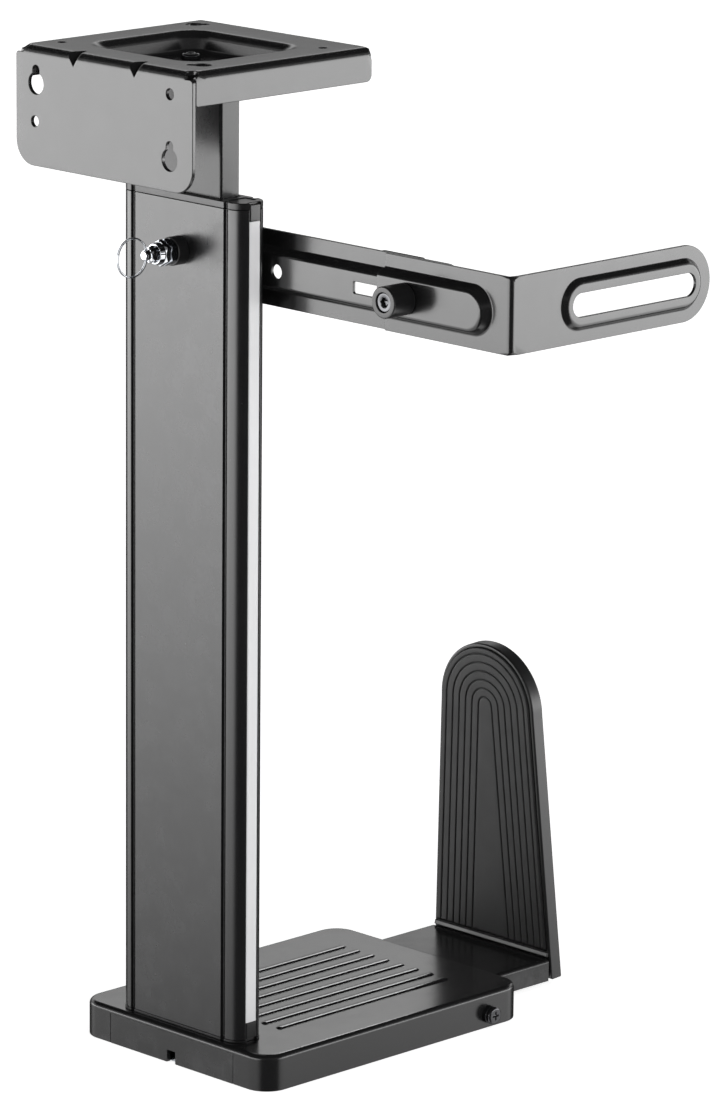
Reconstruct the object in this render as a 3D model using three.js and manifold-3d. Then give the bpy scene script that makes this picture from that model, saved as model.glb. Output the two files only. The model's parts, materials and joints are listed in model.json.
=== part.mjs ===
// Under-desk computer holder: a telescoping column hangs from a desk bracket and carries a
// base with a pull-out end plate and an L-shaped side arm. Millimetres, +Z up.
// X runs along the column's wide face, Y from the column towards the end plate.
// The origin is under the column's axis, at the height of the base's underside.
// Names ending in _X, _Y, _Z are places, or half sizes where the part is centred on the axis.
import * as THREE from 'three';
import { mergeVertices } from 'three/addons/utils/BufferGeometryUtils.js';
import { ConvexGeometry } from 'three/addons/geometries/ConvexGeometry.js';
import Module from 'manifold-3d';

const wasm = await Module();
wasm.setup();

// ---------------------------------------------------------------- shared dimensions
const SEAM = 0.2;                      // between fixed neighbours
const QUARTER = Math.PI / 2;           // quarter turn
const SIGNS = [1, -1];
const SIDES = [['right', 1], ['left', -1]];            // +X, -X
const LEVELS = [['upper', 1], ['lower', -1]];

const COLUMN_W = 102.6, COLUMN_T = 23;
const COLUMN_Z0 = 23.7, COLUMN_Z1 = 511.5;
const CHAMBER_X = 32.5, CHAMBER_Y = 9.3;               // central chamber
const SCREW_X = 41;                                    // screws and screw ports in the column

const TUBE_W = 60, TUBE_T = 15;

const BRACKET_Z = 598.7;                               // desk face
const SHEET = 2.5;                                     // bracket sheet
const DISH_DEPTH = 12;
const BOLT_PLACES = [[1, 1], [1, -1], [-1, -1], [-1, 1]].map(([a, b]) => [a * 22, b * 18]);

const PLUNGER_Z = 483;
const ARM_Z = 475.4;                                   // middle of the arm's height

const BASE_X = 80, BASE_Y0 = -16.6, BASE_Y1 = 198.2, BASE_H = 21.9;
const ROOF_Z = BASE_H - 2.7;                           // underside of the base's top wall
const TRAY_X = 50.2, TRAY_Z1 = 17.6;
const LOCK_Y = 167.5, LOCK_Z = 8.5;                    // lock screw axis

// ---------------------------------------------------------------- materials
const finish = (settings) => new THREE.MeshStandardMaterial(settings);
const POWDER = finish({ color: 0x2a2a2b, roughness: 0.5, metalness: 0.1 });
const ANODISED = finish({ color: 0x2b2b2d, roughness: 0.38, metalness: 0.55 });
const PLASTIC = finish({ color: 0x252526, roughness: 0.5, metalness: 0 });
const PAD = finish({ color: 0x1e1e1f, roughness: 0.75, metalness: 0 });
const FOAM = finish({ color: 0x1a1a1a, roughness: 0.95, metalness: 0 });
const STRIP = finish({ color: 0xe2e3e4, roughness: 0.4, metalness: 0 });
const CHROME = finish({ color: 0xc9cdd2, roughness: 0.18, metalness: 1 });
const ZINC = finish({ color: 0x9aa0a6, roughness: 0.35, metalness: 1 });
const BLACK_STEEL = finish({ color: 0x161617, roughness: 0.35, metalness: 0.8 });

// ---------------------------------------------------------------- geometry to solid and back
function solid(geometry) {
  for (const name of Object.keys(geometry.attributes)) {
    if (name !== 'position') geometry.deleteAttribute(name);
  }
  const merged = mergeVertices(geometry, 1e-4);
  return new wasm.Manifold(new wasm.Mesh({
    numProp: 3,
    vertProperties: new Float32Array(merged.attributes.position.array),
    triVerts: new Uint32Array(merged.index.array),
  }));
}

function toGeometry(body) {
  const mesh = body.getMesh();
  const geometry = new THREE.BufferGeometry();
  const positions = new Float32Array(mesh.vertProperties);
  geometry.setAttribute('position', new THREE.BufferAttribute(positions, 3));
  geometry.setIndex(new THREE.BufferAttribute(new Uint32Array(mesh.triVerts), 1));
  geometry.computeVertexNormals();
  return geometry;
}

const model = new THREE.Group();

function put(name, body, material) {
  const mesh = new THREE.Mesh(toGeometry(body), material);
  mesh.name = name;
  model.add(mesh);
}

// ---------------------------------------------------------------- outlines
const point = (x, y) => new THREE.Vector2(x, y);
const sorted = (a, b) => (a < b ? [a, b] : [b, a]);

const arc = (cx, cy, radius, from, to, steps) => Array.from({ length: steps + 1 }, (_, k) => {
  const angle = from + (to - from) * k / steps;
  return point(cx + radius * Math.cos(angle), cy + radius * Math.sin(angle));
});

// polygon with rounded corners; one radius for all, or one per corner
function rounded(corners, radii, steps) {
  return corners.flatMap((corner, i) => {
    const radius = Array.isArray(radii) ? radii[i] : radii;
    if (!radius) return [corner];
    const toPrevious = corners.at(i - 1).clone().sub(corner).normalize();
    const toNext = corners[(i + 1) % corners.length].clone().sub(corner).normalize();
    const cosine = THREE.MathUtils.clamp(toPrevious.dot(toNext), -1, 1);
    const halfAngle = Math.acos(cosine) / 2;
    const reach = radius / Math.tan(halfAngle);
    const centre = toPrevious.clone().add(toNext).normalize()
      .multiplyScalar(radius / Math.sin(halfAngle)).add(corner);
    const start = toPrevious.multiplyScalar(reach).add(corner).sub(centre);
    const end = toNext.multiplyScalar(reach).add(corner).sub(centre);
    const from = Math.atan2(start.y, start.x);
    let sweep = Math.atan2(end.y, end.x) - from;
    if (sweep > Math.PI) sweep -= 2 * Math.PI;
    if (sweep < -Math.PI) sweep += 2 * Math.PI;
    return arc(centre.x, centre.y, radius, from, from + sweep, steps);
  });
}

// opposite corners in any order
function rect(xa, ya, xb, yb, radii = 0, steps = 1) {
  const [x0, x1] = sorted(xa, xb);
  const [y0, y1] = sorted(ya, yb);
  return rounded([point(x0, y0), point(x1, y0), point(x1, y1), point(x0, y1)], radii, steps);
}

const centredRect = (x, y, radius, steps) => rect(-x, -y, x, y, radius, steps);

const circle = (cx, cy, radius, segments) => Array.from({ length: segments }, (_, k) => {
  const angle = 2 * Math.PI * (k + 0.5) / segments;
  return point(cx + radius * Math.cos(angle), cy + radius * Math.sin(angle));
});

const hexagon = (cx, cy, flats) => circle(cx, cy, flats / Math.sqrt(3), 6);

// long hole with round ends
function stadium(x0, x1, cy, height) {
  const radius = height / 2;
  return [
    ...arc(x1 - radius, cy, radius, -QUARTER, QUARTER, 8),
    ...arc(x0 + radius, cy, radius, QUARTER, 3 * QUARTER, 8),
  ];
}

// ---------------------------------------------------------------- solids
// bevel is { radius, steps }; it stays inside the outline and the depth
function extrusion(outline, depth, bevel) {
  const shape = new THREE.Shape(outline);
  const flat = { bevelEnabled: false, steps: 1, curveSegments: 1 };
  if (!bevel) return new THREE.ExtrudeGeometry(shape, { ...flat, depth });
  const { radius, steps } = bevel;
  return new THREE.ExtrudeGeometry(shape, {
    ...flat,
    depth: depth - 2 * radius,
    bevelEnabled: true,
    bevelThickness: radius,
    bevelSize: radius,
    bevelOffset: -radius,
    bevelSegments: steps,
  }).translate(0, 0, radius);
}

// outlines are (y, z) along x, (x, z) along y and (x, y) along z
const X_BASIS = new THREE.Matrix4().makeBasis(
  new THREE.Vector3(0, 1, 0), new THREE.Vector3(0, 0, 1), new THREE.Vector3(1, 0, 0));
const layAlong = {
  x: (geometry, lo) => geometry.applyMatrix4(X_BASIS).translate(lo, 0, 0),
  y: (geometry, lo, hi) => geometry.rotateX(QUARTER).translate(0, hi, 0),
  z: (geometry, lo) => geometry.translate(0, 0, lo),
};

function prism(axis, outline, a, b, holes = [], bevel = null) {
  const [lo, hi] = sorted(a, b);
  const body = solid(layAlong[axis](extrusion(outline, hi - lo, bevel), lo, hi));
  return holes.reduce((rest, hole) => rest.subtract(prism(axis, hole, lo - 1, hi + 1)), body);
}
const xPrism = (...args) => prism('x', ...args);
const yPrism = (...args) => prism('y', ...args);
const zPrism = (...args) => prism('z', ...args);

const box = (x0, x1, y0, y1, z0, z1) => solid(
  new THREE.BoxGeometry(Math.abs(x1 - x0), Math.abs(y1 - y0), Math.abs(z1 - z0))
    .translate((x0 + x1) / 2, (y0 + y1) / 2, (z0 + z1) / 2));

const hull = (points) => solid(new ConvexGeometry(points.map((p) => new THREE.Vector3(...p))));

// Turned parts: a profile is rows of [radius, place along the axis], running towards + on the
// outside. The two numbers after it place the axis.
const lathe = (profile, segments) =>
  new THREE.LatheGeometry(profile.map(([radius, along]) => point(radius, along)), segments);
const turnedX = (profile, y, z, segments) =>
  solid(lathe(profile, segments).rotateZ(-QUARTER).translate(0, y, z));
const turnedY = (profile, x, z, segments) => solid(lathe(profile, segments).translate(x, 0, z));
const turnedZ = (profile, x, y, segments) =>
  solid(lathe(profile, segments).rotateX(QUARTER).translate(x, y, 0));
const rod = (radius, lo, hi) => [[0, lo], [radius, lo], [radius, hi], [0, hi]];

// ---------------------------------------------------------------- column
const COLUMN_R = 11;
const GROOVE_X = 38.3, GROOVE_W = 3.5, GROOVE_DEPTH = 2;
const SLOT_W = 8.8, SLOT_DEPTH = 2.6;                  // side slot for the strip
const POCKET_X0 = 35.3, POCKET_X1 = 46, POCKET_Y0 = 3.5, POCKET_Y1 = 8.3;
const PORT_R = 2.3, SCREW_HOLE_R = 2.6;
const CAP_H = 4, FOOT_H = 1.5;

// the +X half, then the same turned half round
function columnOutline() {
  const edgeY = COLUMN_T / 2, floorY = edgeY - GROOVE_DEPTH;
  const grooveX0 = GROOVE_X - GROOVE_W / 2, grooveX1 = GROOVE_X + GROOVE_W / 2;
  const slotX = COLUMN_W / 2 - SLOT_DEPTH, slotY = SLOT_W / 2;
  const cx = COLUMN_W / 2 - COLUMN_R, cy = edgeY - COLUMN_R;
  const lip = Math.asin((slotY - cy) / COLUMN_R);      // where the slot cuts the rounded side
  const half = [
    point(grooveX0, -edgeY), point(grooveX0, -floorY),
    point(grooveX1, -floorY), point(grooveX1, -edgeY),
    ...arc(cx, -cy, COLUMN_R, -QUARTER, -lip, 6),
    point(slotX, -slotY), point(slotX, slotY),
    ...arc(cx, cy, COLUMN_R, lip, QUARTER, 6),
    point(grooveX1, edgeY), point(grooveX1, floorY),
    point(grooveX0, floorY), point(grooveX0, edgeY),
  ];
  return [...half, ...half.map((p) => point(-p.x, -p.y))];
}

const sideHollows = (sign) => [
  rect(POCKET_X0 * sign, POCKET_Y0, POCKET_X1 * sign, POCKET_Y1),
  rect(POCKET_X0 * sign, -POCKET_Y1, POCKET_X1 * sign, -POCKET_Y0),
  circle(SCREW_X * sign, 0, PORT_R, 10),
];

const columnScrewHoles = () => SIGNS.map((sign) => circle(SCREW_X * sign, 0, SCREW_HOLE_R, 10));

function columnProfile() {
  const chamber = centredRect(CHAMBER_X, CHAMBER_Y, 0.8, 2);
  const hollows = [chamber, ...SIGNS.flatMap(sideHollows)];
  let body = zPrism(columnOutline(), COLUMN_Z0, COLUMN_Z1, hollows);
  body = body.subtract(yPrism(circle(0, PLUNGER_Z, 5.2, 16), -COLUMN_T, -5));
  for (const x of [-SCREW_X, SCREW_X]) {               // arm screws
    body = body.subtract(yPrism(circle(x, ARM_Z, 3.4, 12), 5, COLUMN_T));
  }
  return body;
}

function columnCap() {
  const z0 = COLUMN_Z1 + SEAM;
  return zPrism(columnOutline(), z0, z0 + CAP_H, [centredRect(30.6, 8.1, 1.2, 3)]);
}

function columnFoot() {
  const z0 = BASE_H + 0.1;
  return zPrism(columnOutline(), z0, z0 + FOOT_H, columnScrewHoles());
}

put('column_profile', columnProfile(), ANODISED);
put('column_cap', columnCap(), PLASTIC);
put('column_foot', columnFoot(), PLASTIC);

// light strip-shaped inlays in the side slots, each with a plug at both ends
const STRIP_W = 8.2, STRIP_T = 1.4, PLUG_L = 9.5, PLUG_PROUD = 0.3;
for (const [side, sign] of SIDES) {
  const x0 = COLUMN_W / 2 - SLOT_DEPTH + 0.15, x1 = x0 + STRIP_T;
  const bottom = COLUMN_Z0 + 0.3, top = COLUMN_Z1 + 3;
  const inlay = (outerX, z0, z1) =>
    box(x0 * sign, outerX * sign, -STRIP_W / 2, STRIP_W / 2, z0, z1);
  put(`strip_${side}`, inlay(x1, bottom + PLUG_L + SEAM, top - PLUG_L - SEAM), STRIP);
  put(`strip_plug_top_${side}`, inlay(x1 + PLUG_PROUD, top - PLUG_L, top), PLASTIC);
  put(`strip_plug_bottom_${side}`, inlay(x1 + PLUG_PROUD, bottom, bottom + PLUG_L), PLASTIC);
}

// ---------------------------------------------------------------- mast
const TUBE_WALL = 1.5, TUBE_R = 1.5;
const TUBE_Z0 = 350, TUBE_Z1 = 580;
const INDEX_PITCH = 15, INDEX_D = 6.4;                 // index holes in the tube
const INDEX_BELOW = 90, INDEX_ABOVE = 30;              // reach of the row from the plunger
const HEAD_Z0 = TUBE_Z1 + 0.1, HEAD_Z1 = BRACKET_Z - DISH_DEPTH - SHEET - 0.1;
const BOLT_SEAT_Z = BRACKET_Z - DISH_DEPTH + 0.1;

function innerTube() {
  const halfW = TUBE_W / 2, halfT = TUBE_T / 2;
  let body = zPrism(centredRect(halfW, halfT, TUBE_R, 3), TUBE_Z0, TUBE_Z1,
    [centredRect(halfW - TUBE_WALL, halfT - TUBE_WALL)]);
  for (let dz = -INDEX_BELOW; dz <= INDEX_ABOVE; dz += INDEX_PITCH) {
    const hole = circle(0, PLUNGER_Z + dz, INDEX_D / 2, 12);
    body = body.subtract(yPrism(hole, -TUBE_T, -halfT + 2.5));
  }
  return body;
}

function tubeHeadPlate() {
  const holes = BOLT_PLACES.map(([x, y]) => circle(x, y, 3.1, 12));
  return zPrism(centredRect(39, 28, 6, 4), HEAD_Z0, HEAD_Z1, holes);
}

function bracketBolt(x, y) {
  const seat = BOLT_SEAT_Z;
  const head = turnedZ([
    [0, seat], [5.6, seat], [5.6, seat + 1.6], [4.2, seat + 3.2], [0, seat + 3.4],
  ], x, y, 16);
  const shank = turnedZ(rod(3, HEAD_Z0 - 1.5, seat + 0.2), x, y, 12);
  const socket = zPrism(hexagon(x, y, 4), seat + 1.2, seat + 5);
  return head.add(shank).subtract(socket);
}

// guides the tube's lower end in the column
function tubeFootGlide() {
  const collar = centredRect(CHAMBER_X - 0.3, CHAMBER_Y - 0.3, 1, 2);
  return zPrism(collar, TUBE_Z0 - 6, TUBE_Z0 - 0.1)
    .add(zPrism(centredRect(28.2, 5.7), TUBE_Z0 - 1, TUBE_Z0 + 12))
    .subtract(zPrism(centredRect(25, 3.2), TUBE_Z0 - 10, TUBE_Z0 + 20));
}

// collar at the column's mouth
function tubeTopGlide() {
  const collar = centredRect(CHAMBER_X - 0.2, CHAMBER_Y - 0.2, 1, 2);
  return zPrism(collar, COLUMN_Z1 - 19, COLUMN_Z1 - 0.2,
    [centredRect(TUBE_W / 2 + 0.3, TUBE_T / 2 + 0.3)]);
}

put('inner_tube', innerTube(), POWDER);
put('tube_head_plate', tubeHeadPlate(), BLACK_STEEL);
BOLT_PLACES.forEach(([x, y], i) => put(`bracket_bolt_${i + 1}`, bracketBolt(x, y), ZINC));
put('tube_foot_glide', tubeFootGlide(), PLASTIC);
put('tube_top_glide', tubeTopGlide(), PLASTIC);

// ---------------------------------------------------------------- desk bracket
const BRACKET_X = 72.2, BRACKET_Y = 69.6, BEND_R = 5;  // outer bend radius
const SIDE_DROP_Z = 579.4;                             // lower edge of the side flanges
const FACE_X = 72.8, FACE_DROP_Z = 530.5;              // deep flange at -Y
const SIDE_CORNER_R = 4;
const DISH_X = 46, DISH_Y = 43, DISH_R = 14;
const DARTS_X = [-24.8, 25.5];

// plate end, bend and flange as (distance from the middle, z), mirrored when sign is -1
function bendProfile(edge, drop, sign, inner) {
  const centre = edge - BEND_R, centreZ = BRACKET_Z - BEND_R;
  return [
    point(inner, BRACKET_Z - SHEET), point(inner, BRACKET_Z),
    ...arc(centre, centreZ, BEND_R, QUARTER, 0, 5),
    point(edge, drop), point(edge - SHEET, drop),
    ...arc(centre, centreZ, BEND_R - SHEET, 0, QUARTER, 5),
  ].map((p) => point(sign * p.x, p.y));
}

// round hole with a narrower neck above it
function keyhole(cx, cy, radius, rise, neckRadius) {
  const mouth = Math.asin(neckRadius / radius);
  return [
    ...arc(cx, cy, radius, QUARTER + mouth, 5 * QUARTER - mouth, 14),
    ...arc(cx, cy + rise, neckRadius, 0, Math.PI, 6),
  ];
}

function bracketSheet() {
  const topX = BRACKET_X - BEND_R, topY = BRACKET_Y - BEND_R;
  let body = box(-topX, topX, -topY, BRACKET_Y, BRACKET_Z - SHEET, BRACKET_Z);
  for (const sign of SIGNS) {
    body = body.add(yPrism(bendProfile(BRACKET_X, SIDE_DROP_Z, sign, 60), -66.4, BRACKET_Y));
  }
  const faceTop = BRACKET_Z - BEND_R;
  body = body.add(xPrism(bendProfile(BRACKET_Y, faceTop - 1, -1, 55), -66.6, 66.6));
  const face = rect(-FACE_X, FACE_DROP_Z, FACE_X, faceTop, [14, 14, 1.2, 1.2], 7);
  body = body.add(yPrism(face, -BRACKET_Y, -BRACKET_Y + SHEET));
  // round the lower corners of the side flanges at the open +Y end
  const cornerY = BRACKET_Y - SIDE_CORNER_R, cornerZ = SIDE_DROP_Z + SIDE_CORNER_R;
  const waste = [
    point(BRACKET_Y + 1, SIDE_DROP_Z - 1), point(BRACKET_Y + 1, cornerZ),
    ...arc(cornerY, cornerZ, SIDE_CORNER_R, 0, -QUARTER, 5),
    point(cornerY, SIDE_DROP_Z - 1),
  ];
  for (const sign of SIGNS) body = body.subtract(xPrism(waste, sign * 60, sign * 80));
  return body;
}

// pressed dish with rounded corners, and its bolt holes
function pressDish(sheet) {
  const floorZ = BRACKET_Z - DISH_DEPTH;
  const opening = zPrism(centredRect(DISH_X, DISH_Y, DISH_R, 5),
    BRACKET_Z - SHEET - 1, BRACKET_Z + 1);
  const pan = zPrism(centredRect(DISH_X + 0.01, DISH_Y + 0.01, DISH_R, 5),
    floorZ - SHEET, BRACKET_Z - SHEET + 4, [], { radius: 3, steps: 2 })
    .subtract(box(-80, 80, -80, 80, BRACKET_Z, BRACKET_Z + 10));
  const well = zPrism(centredRect(DISH_X - SHEET, DISH_Y - SHEET, DISH_R - SHEET, 5),
    floorZ, BRACKET_Z + 8, [], { radius: 2.2, steps: 2 });
  let body = sheet.subtract(opening).add(pan).subtract(well);
  for (const [x, y] of BOLT_PLACES) {
    body = body.subtract(zPrism(circle(x, y, 3.3, 12), floorZ - 10, BRACKET_Z));
  }
  return body;
}

// wood-screw keyholes and round holes
function pierceBracket(sheet) {
  let body = sheet;
  const cutTop = (hole) => { body = body.subtract(zPrism(hole, BRACKET_Z - 4, BRACKET_Z + 1)); };
  const cutFace = (hole) => { body = body.subtract(yPrism(hole, -BRACKET_Y - 1, -BRACKET_Y + 4)); };
  // x, y, turn of the neck from +Y
  for (const [x, y, turn] of [[-58, 54.5, -Math.PI / 4], [54.5, -45, 3 * Math.PI / 4]]) {
    cutTop(keyhole(0, 0, 5.2, 6.2, 2.6)
      .map((p) => p.rotateAround(point(0, 0), turn).add(point(x, y))));
  }
  for (const [x, y] of [[-58, -48], [54.5, 48]]) cutTop(circle(x, y, 2.6, 12));
  for (const [x, z] of [[-56, 577.7], [54.3, 548.2]]) cutFace(keyhole(x, z, 6.2, 7.6, 2.8));
  for (const [x, z] of [[-57, 556], [54.5, 585]]) cutFace(circle(x, z, 3.1, 14));
  return body;
}

// darts pressed across the bend of the deep flange: a tetrahedron inside, one cut outside
function pressDarts(sheet) {
  const overlap = 0.6;
  const innerY = -BRACKET_Y + SHEET, innerZ = BRACKET_Z - SHEET;
  return DARTS_X.reduce((body, x) => body
    .add(hull([
      [x, -55, innerZ - overlap],
      [x, innerY + overlap, 586.5],
      [x - 5.5, innerY - overlap, innerZ + overlap],
      [x + 5.5, innerY - overlap, innerZ + overlap],
    ]))
    .subtract(hull([
      [x, -57.5, BRACKET_Z + 0.05],
      [x, -BRACKET_Y - 0.05, 589.8],
      [x - 5, -BRACKET_Y - 1.5, BRACKET_Z + 1.5],
      [x + 5, -BRACKET_Y - 1.5, BRACKET_Z + 1.5],
    ])), sheet);
}

// relief holes where the flanges meet
const relieveCorners = (sheet) => SIGNS.reduce((body, sign) => body.subtract(solid(
  new THREE.SphereGeometry(4.2, 10, 8).translate(sign * 70.6, -67.6, BRACKET_Z - 3.6))), sheet);

const mountBracket = relieveCorners(pressDarts(pierceBracket(pressDish(bracketSheet()))));
put('mount_bracket', mountBracket, POWDER);

// ---------------------------------------------------------------- index plunger
const PLUNGER_FACE = -COLUMN_T / 2;                    // column face it sits on
const NUT_FLATS = 13.6;
const RING_Y = -36.5, RING_R = 11.1, RING_WIRE = 0.85;
const SPRING = { radius: 3.3, turns: 3.3, start: 9.2, length: 3.1, wire: 0.4 };

// rows of [radius, distance out from the column face]; negative is inside the column
const turnedOut = (rows, segments) => {
  const profile = rows.map(([radius, out]) => [radius, PLUNGER_FACE - out]).reverse();
  return turnedY(profile, 0, PLUNGER_Z, segments);
};
const hexOut = (flats, near, far, holes) =>
  yPrism(hexagon(0, PLUNGER_Z, flats), PLUNGER_FACE - far, PLUNGER_FACE - near, holes);

const plungerCollar = () => turnedOut([
  [5.2, 0.1], [8.3, 0.1], [8.3, 6.6], [7.7, 7.3], [5.2, 7.3], [5.2, 0.1],
], 24);

const plungerNut = () => hexOut(NUT_FLATS, 7.5, 12.2, [circle(0, PLUNGER_Z, 5.15, 16)]);

function plungerBody() {
  const outer = turnedOut([
    [0, -2.2], [5, -2.2], [5, 15.3], [6.7, 15.3], [6.6, 16.6], [5.9, 19.4], [0, 19.4],
  ], 20);
  const bore = turnedOut([
    [0, -3], [3.1, -3], [3.1, 0.5], [4.1, 0.5], [4.1, 12.8],
    [2.7, 12.8], [2.7, 14.8], [5.1, 14.8], [5.1, 20], [0, 20],
  ], 16);
  return hexOut(NUT_FLATS, 12.4, 15.6).add(outer).subtract(bore);
}

// Drawn just clear of the tube; 4.5 mm further in the pin stands in an index hole and its
// head is down in the body's cup.
function plungerPin() {
  const tip = PLUNGER_FACE + TUBE_T / 2 + 0.3;
  const shaft = turnedOut([
    [0, tip], [2.2, tip], [2.9, tip + 1.5], [2.9, 5.2],
    [3.9, 5.2], [3.9, 7.2], [2.4, 7.2], [2.4, 20], [0, 20],
  ], 16);
  const eye = turnedOut([[0, 23], [2.9, 23], [2.9, 26.4], [2.2, 27.4], [0, 27.4]], 16);
  const ringHole = turnedZ(rod(1.4, PLUNGER_Z - 6, PLUNGER_Z + 6), 0, RING_Y, 12);
  return shaft.add(hexOut(8.4, 19.7, 23.5)).add(eye).subtract(ringHole);
}

class SpringPath extends THREE.Curve {
  getPoint(t) {
    const angle = 2 * Math.PI * SPRING.turns * t;
    return new THREE.Vector3(
      SPRING.radius * Math.cos(angle),
      PLUNGER_FACE - SPRING.start - SPRING.length * t,
      PLUNGER_Z + SPRING.radius * Math.sin(angle));
  }
}

const plungerSpring = () => solid(new THREE.ExtrudeGeometry(
  new THREE.Shape(circle(0, 0, SPRING.wire, 5)),
  { steps: 36, bevelEnabled: false, extrudePath: new SpringPath() }));

function pullRing() {
  const section = circle(RING_R, 0, RING_WIRE, 6);
  const ring = new THREE.LatheGeometry([...section, section[0].clone()], 28);
  return solid(ring.rotateZ(QUARTER).translate(0, RING_Y - RING_R, PLUNGER_Z));
}

put('plunger_collar', plungerCollar(), PLASTIC);
put('plunger_lock_nut', plungerNut(), ZINC);
put('plunger_body', plungerBody(), CHROME);
put('plunger_pin', plungerPin(), CHROME);
put('plunger_spring', plungerSpring(), ZINC);
put('pull_ring', pullRing(), CHROME);

// ---------------------------------------------------------------- arm, first piece
const ARM_T = 2;                                       // sheet of both arm pieces
const ARM_HALF_H = 43.8 / 2;
const ARM_Z0 = ARM_Z - ARM_HALF_H, ARM_Z1 = ARM_Z + ARM_HALF_H;
const ARM_FLANGE_Y = 18.2;                             // -Y faces of the first piece
const ARM_FLOOR_Y = COLUMN_T / 2 + SEAM;
const CHANNEL_DEPTH = ARM_FLANGE_Y - ARM_FLOOR_Y;
const CHANNEL_FLANGE = 13, CHANNEL_FLOOR = 9;          // channel half heights
const ARM_X0 = -50, ARM_X1 = 192.5, ARM_CHANNEL_X1 = 181;
const ARM_SLOT_H = 6.8;
const HEAD_SEAT_Y = ARM_FLOOR_Y + ARM_T + 0.15;        // under the heads inside the channel

// Tapered body with a square -X end and a round +X end. Each level is [half height, y];
// the second level ends short by the channel's taper.
function channelBody(x0, x1, [halfA, yA], [halfB, yB]) {
  const level = (half, end, y) => [
    point(x0, ARM_Z - half),
    ...arc(end - half, ARM_Z, half, -QUARTER, QUARTER, 8),
    point(x0, ARM_Z + half),
  ].map((p) => [p.x, y, p.y]);
  const taper = CHANNEL_FLANGE - CHANNEL_FLOOR;
  return hull([...level(halfA, x1, yA), ...level(halfB, x1 - taper, yB)]);
}

// presses a channel towards -Y into a sheet; grow widens it on every half height
function pressChannel(sheet, flangeY, x0, x1, grow) {
  const flange = CHANNEL_FLANGE + grow, floor = CHANNEL_FLOOR + grow;
  const floorY = flangeY - CHANNEL_DEPTH;
  const outer = channelBody(x0, x1, [flange, flangeY + ARM_T * 0.5], [floor, floorY]);
  const inner = channelBody(x0, x1 - ARM_T * 0.8,
    [flange - ARM_T * 0.8, flangeY + ARM_T + 0.01],
    [floor - ARM_T * 0.6, floorY + ARM_T]);
  return sheet.add(outer).subtract(inner);
}

function armBracket() {
  const outline = rect(ARM_X0, ARM_Z0, ARM_X1, ARM_Z1, [0, 9, 9, 0], 5);
  const sheet = yPrism(outline, ARM_FLANGE_Y, ARM_FLANGE_Y + ARM_T);
  const holes = [
    circle(55.5, ARM_Z, 4.1, 16),
    rect(117, ARM_Z - ARM_SLOT_H / 2, 169, ARM_Z + ARM_SLOT_H / 2, 0.8, 2),
    circle(-SCREW_X, ARM_Z, 3.4, 12),
    circle(SCREW_X, ARM_Z, 3.4, 12),
  ];
  return holes.reduce((body, hole) => body.subtract(yPrism(hole, 5, 25)),
    pressChannel(sheet, ARM_FLANGE_Y, ARM_X0, ARM_CHANNEL_X1, 0));
}

function armScrew(x) {
  const seat = HEAD_SEAT_Y;
  const head = turnedY([
    [0, seat], [5.4, seat], [5.4, seat + 1.4], [3.9, seat + 3], [0, seat + 3.2],
  ], x, ARM_Z, 16);
  const shank = turnedY(rod(3, 4.8, seat + 0.2), x, ARM_Z, 12);
  return head.add(shank).subtract(yPrism(hexagon(x, ARM_Z, 4), seat + 1.2, seat + 5));
}

const armNutPlate = (x) => yPrism(
  rect(x - 4.6, ARM_Z - 12, x + 4.6, ARM_Z + 12), 4.2, 8, [circle(x, ARM_Z, 3.1, 12)]);

function armFoam(sign) {
  const outline = rect(130, ARM_Z + sign * 14.6, 162, ARM_Z + sign * (ARM_HALF_H - 0.1), 1, 2);
  const backY = ARM_FLANGE_Y + ARM_T;
  return yPrism(outline, backY + 0.05, backY + 3.2);
}

put('arm_bracket', armBracket(), POWDER);
for (const [side, x] of [['left', -SCREW_X], ['right', SCREW_X]]) {
  put(`arm_screw_${side}`, armScrew(x), BLACK_STEEL);
  put(`arm_nut_plate_${side}`, armNutPlate(x), ZINC);
}
for (const [level, sign] of LEVELS) put(`foam_pad_arm_${level}`, armFoam(sign), FOAM);

// ---------------------------------------------------------------- arm, corner piece
const NEST = 2.2;                                      // sheet plus running gap
const CORNER_FLANGE_Y = ARM_FLANGE_Y - NEST;
const CORNER_X0 = 137.5, CORNER_X1 = 234.5, CORNER_Y1 = 177.3;
const CORNER_CHANNEL_X1 = 220.9;
const CORNER_BEND = 3.2;                               // outer bend radius
const RIM_Y0 = 70.4, RIM_Y1 = 154.6, RIM_RISE = 3;     // centres of the rim's round ends
const KNOB_X = 159.5, KNOB_L = 16.6;

// flat sheet bent once, with a round end on the leg along Y
function cornerSheet() {
  const cx = CORNER_X1 - CORNER_BEND, cy = CORNER_FLANGE_Y + CORNER_BEND;
  const plan = [
    point(CORNER_X0, CORNER_FLANGE_Y),
    ...arc(cx, cy, CORNER_BEND, -QUARTER, 0, 5),
    point(CORNER_X1, CORNER_Y1), point(CORNER_X1 - ARM_T, CORNER_Y1),
    ...arc(cx, cy, CORNER_BEND - ARM_T, 0, -QUARTER, 5),
    point(CORNER_X0, CORNER_FLANGE_Y + ARM_T),
  ];
  const endR = ARM_HALF_H - 0.01;
  const keep = rect(-20, ARM_Z0, CORNER_Y1, ARM_Z1, [0, endR, endR, 0], 9);
  return zPrism(plan, ARM_Z0, ARM_Z1).intersect(xPrism(keep, CORNER_X0 - 1, CORNER_X1 + 1));
}

// tapered body with round ends; each level is [x, half height]
const rimBody = (...levels) => hull(levels.flatMap(([x, half]) =>
  stadium(RIM_Y0 - half, RIM_Y1 + half, ARM_Z, 2 * half).map((p) => [x, p.x, p.y])));

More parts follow.
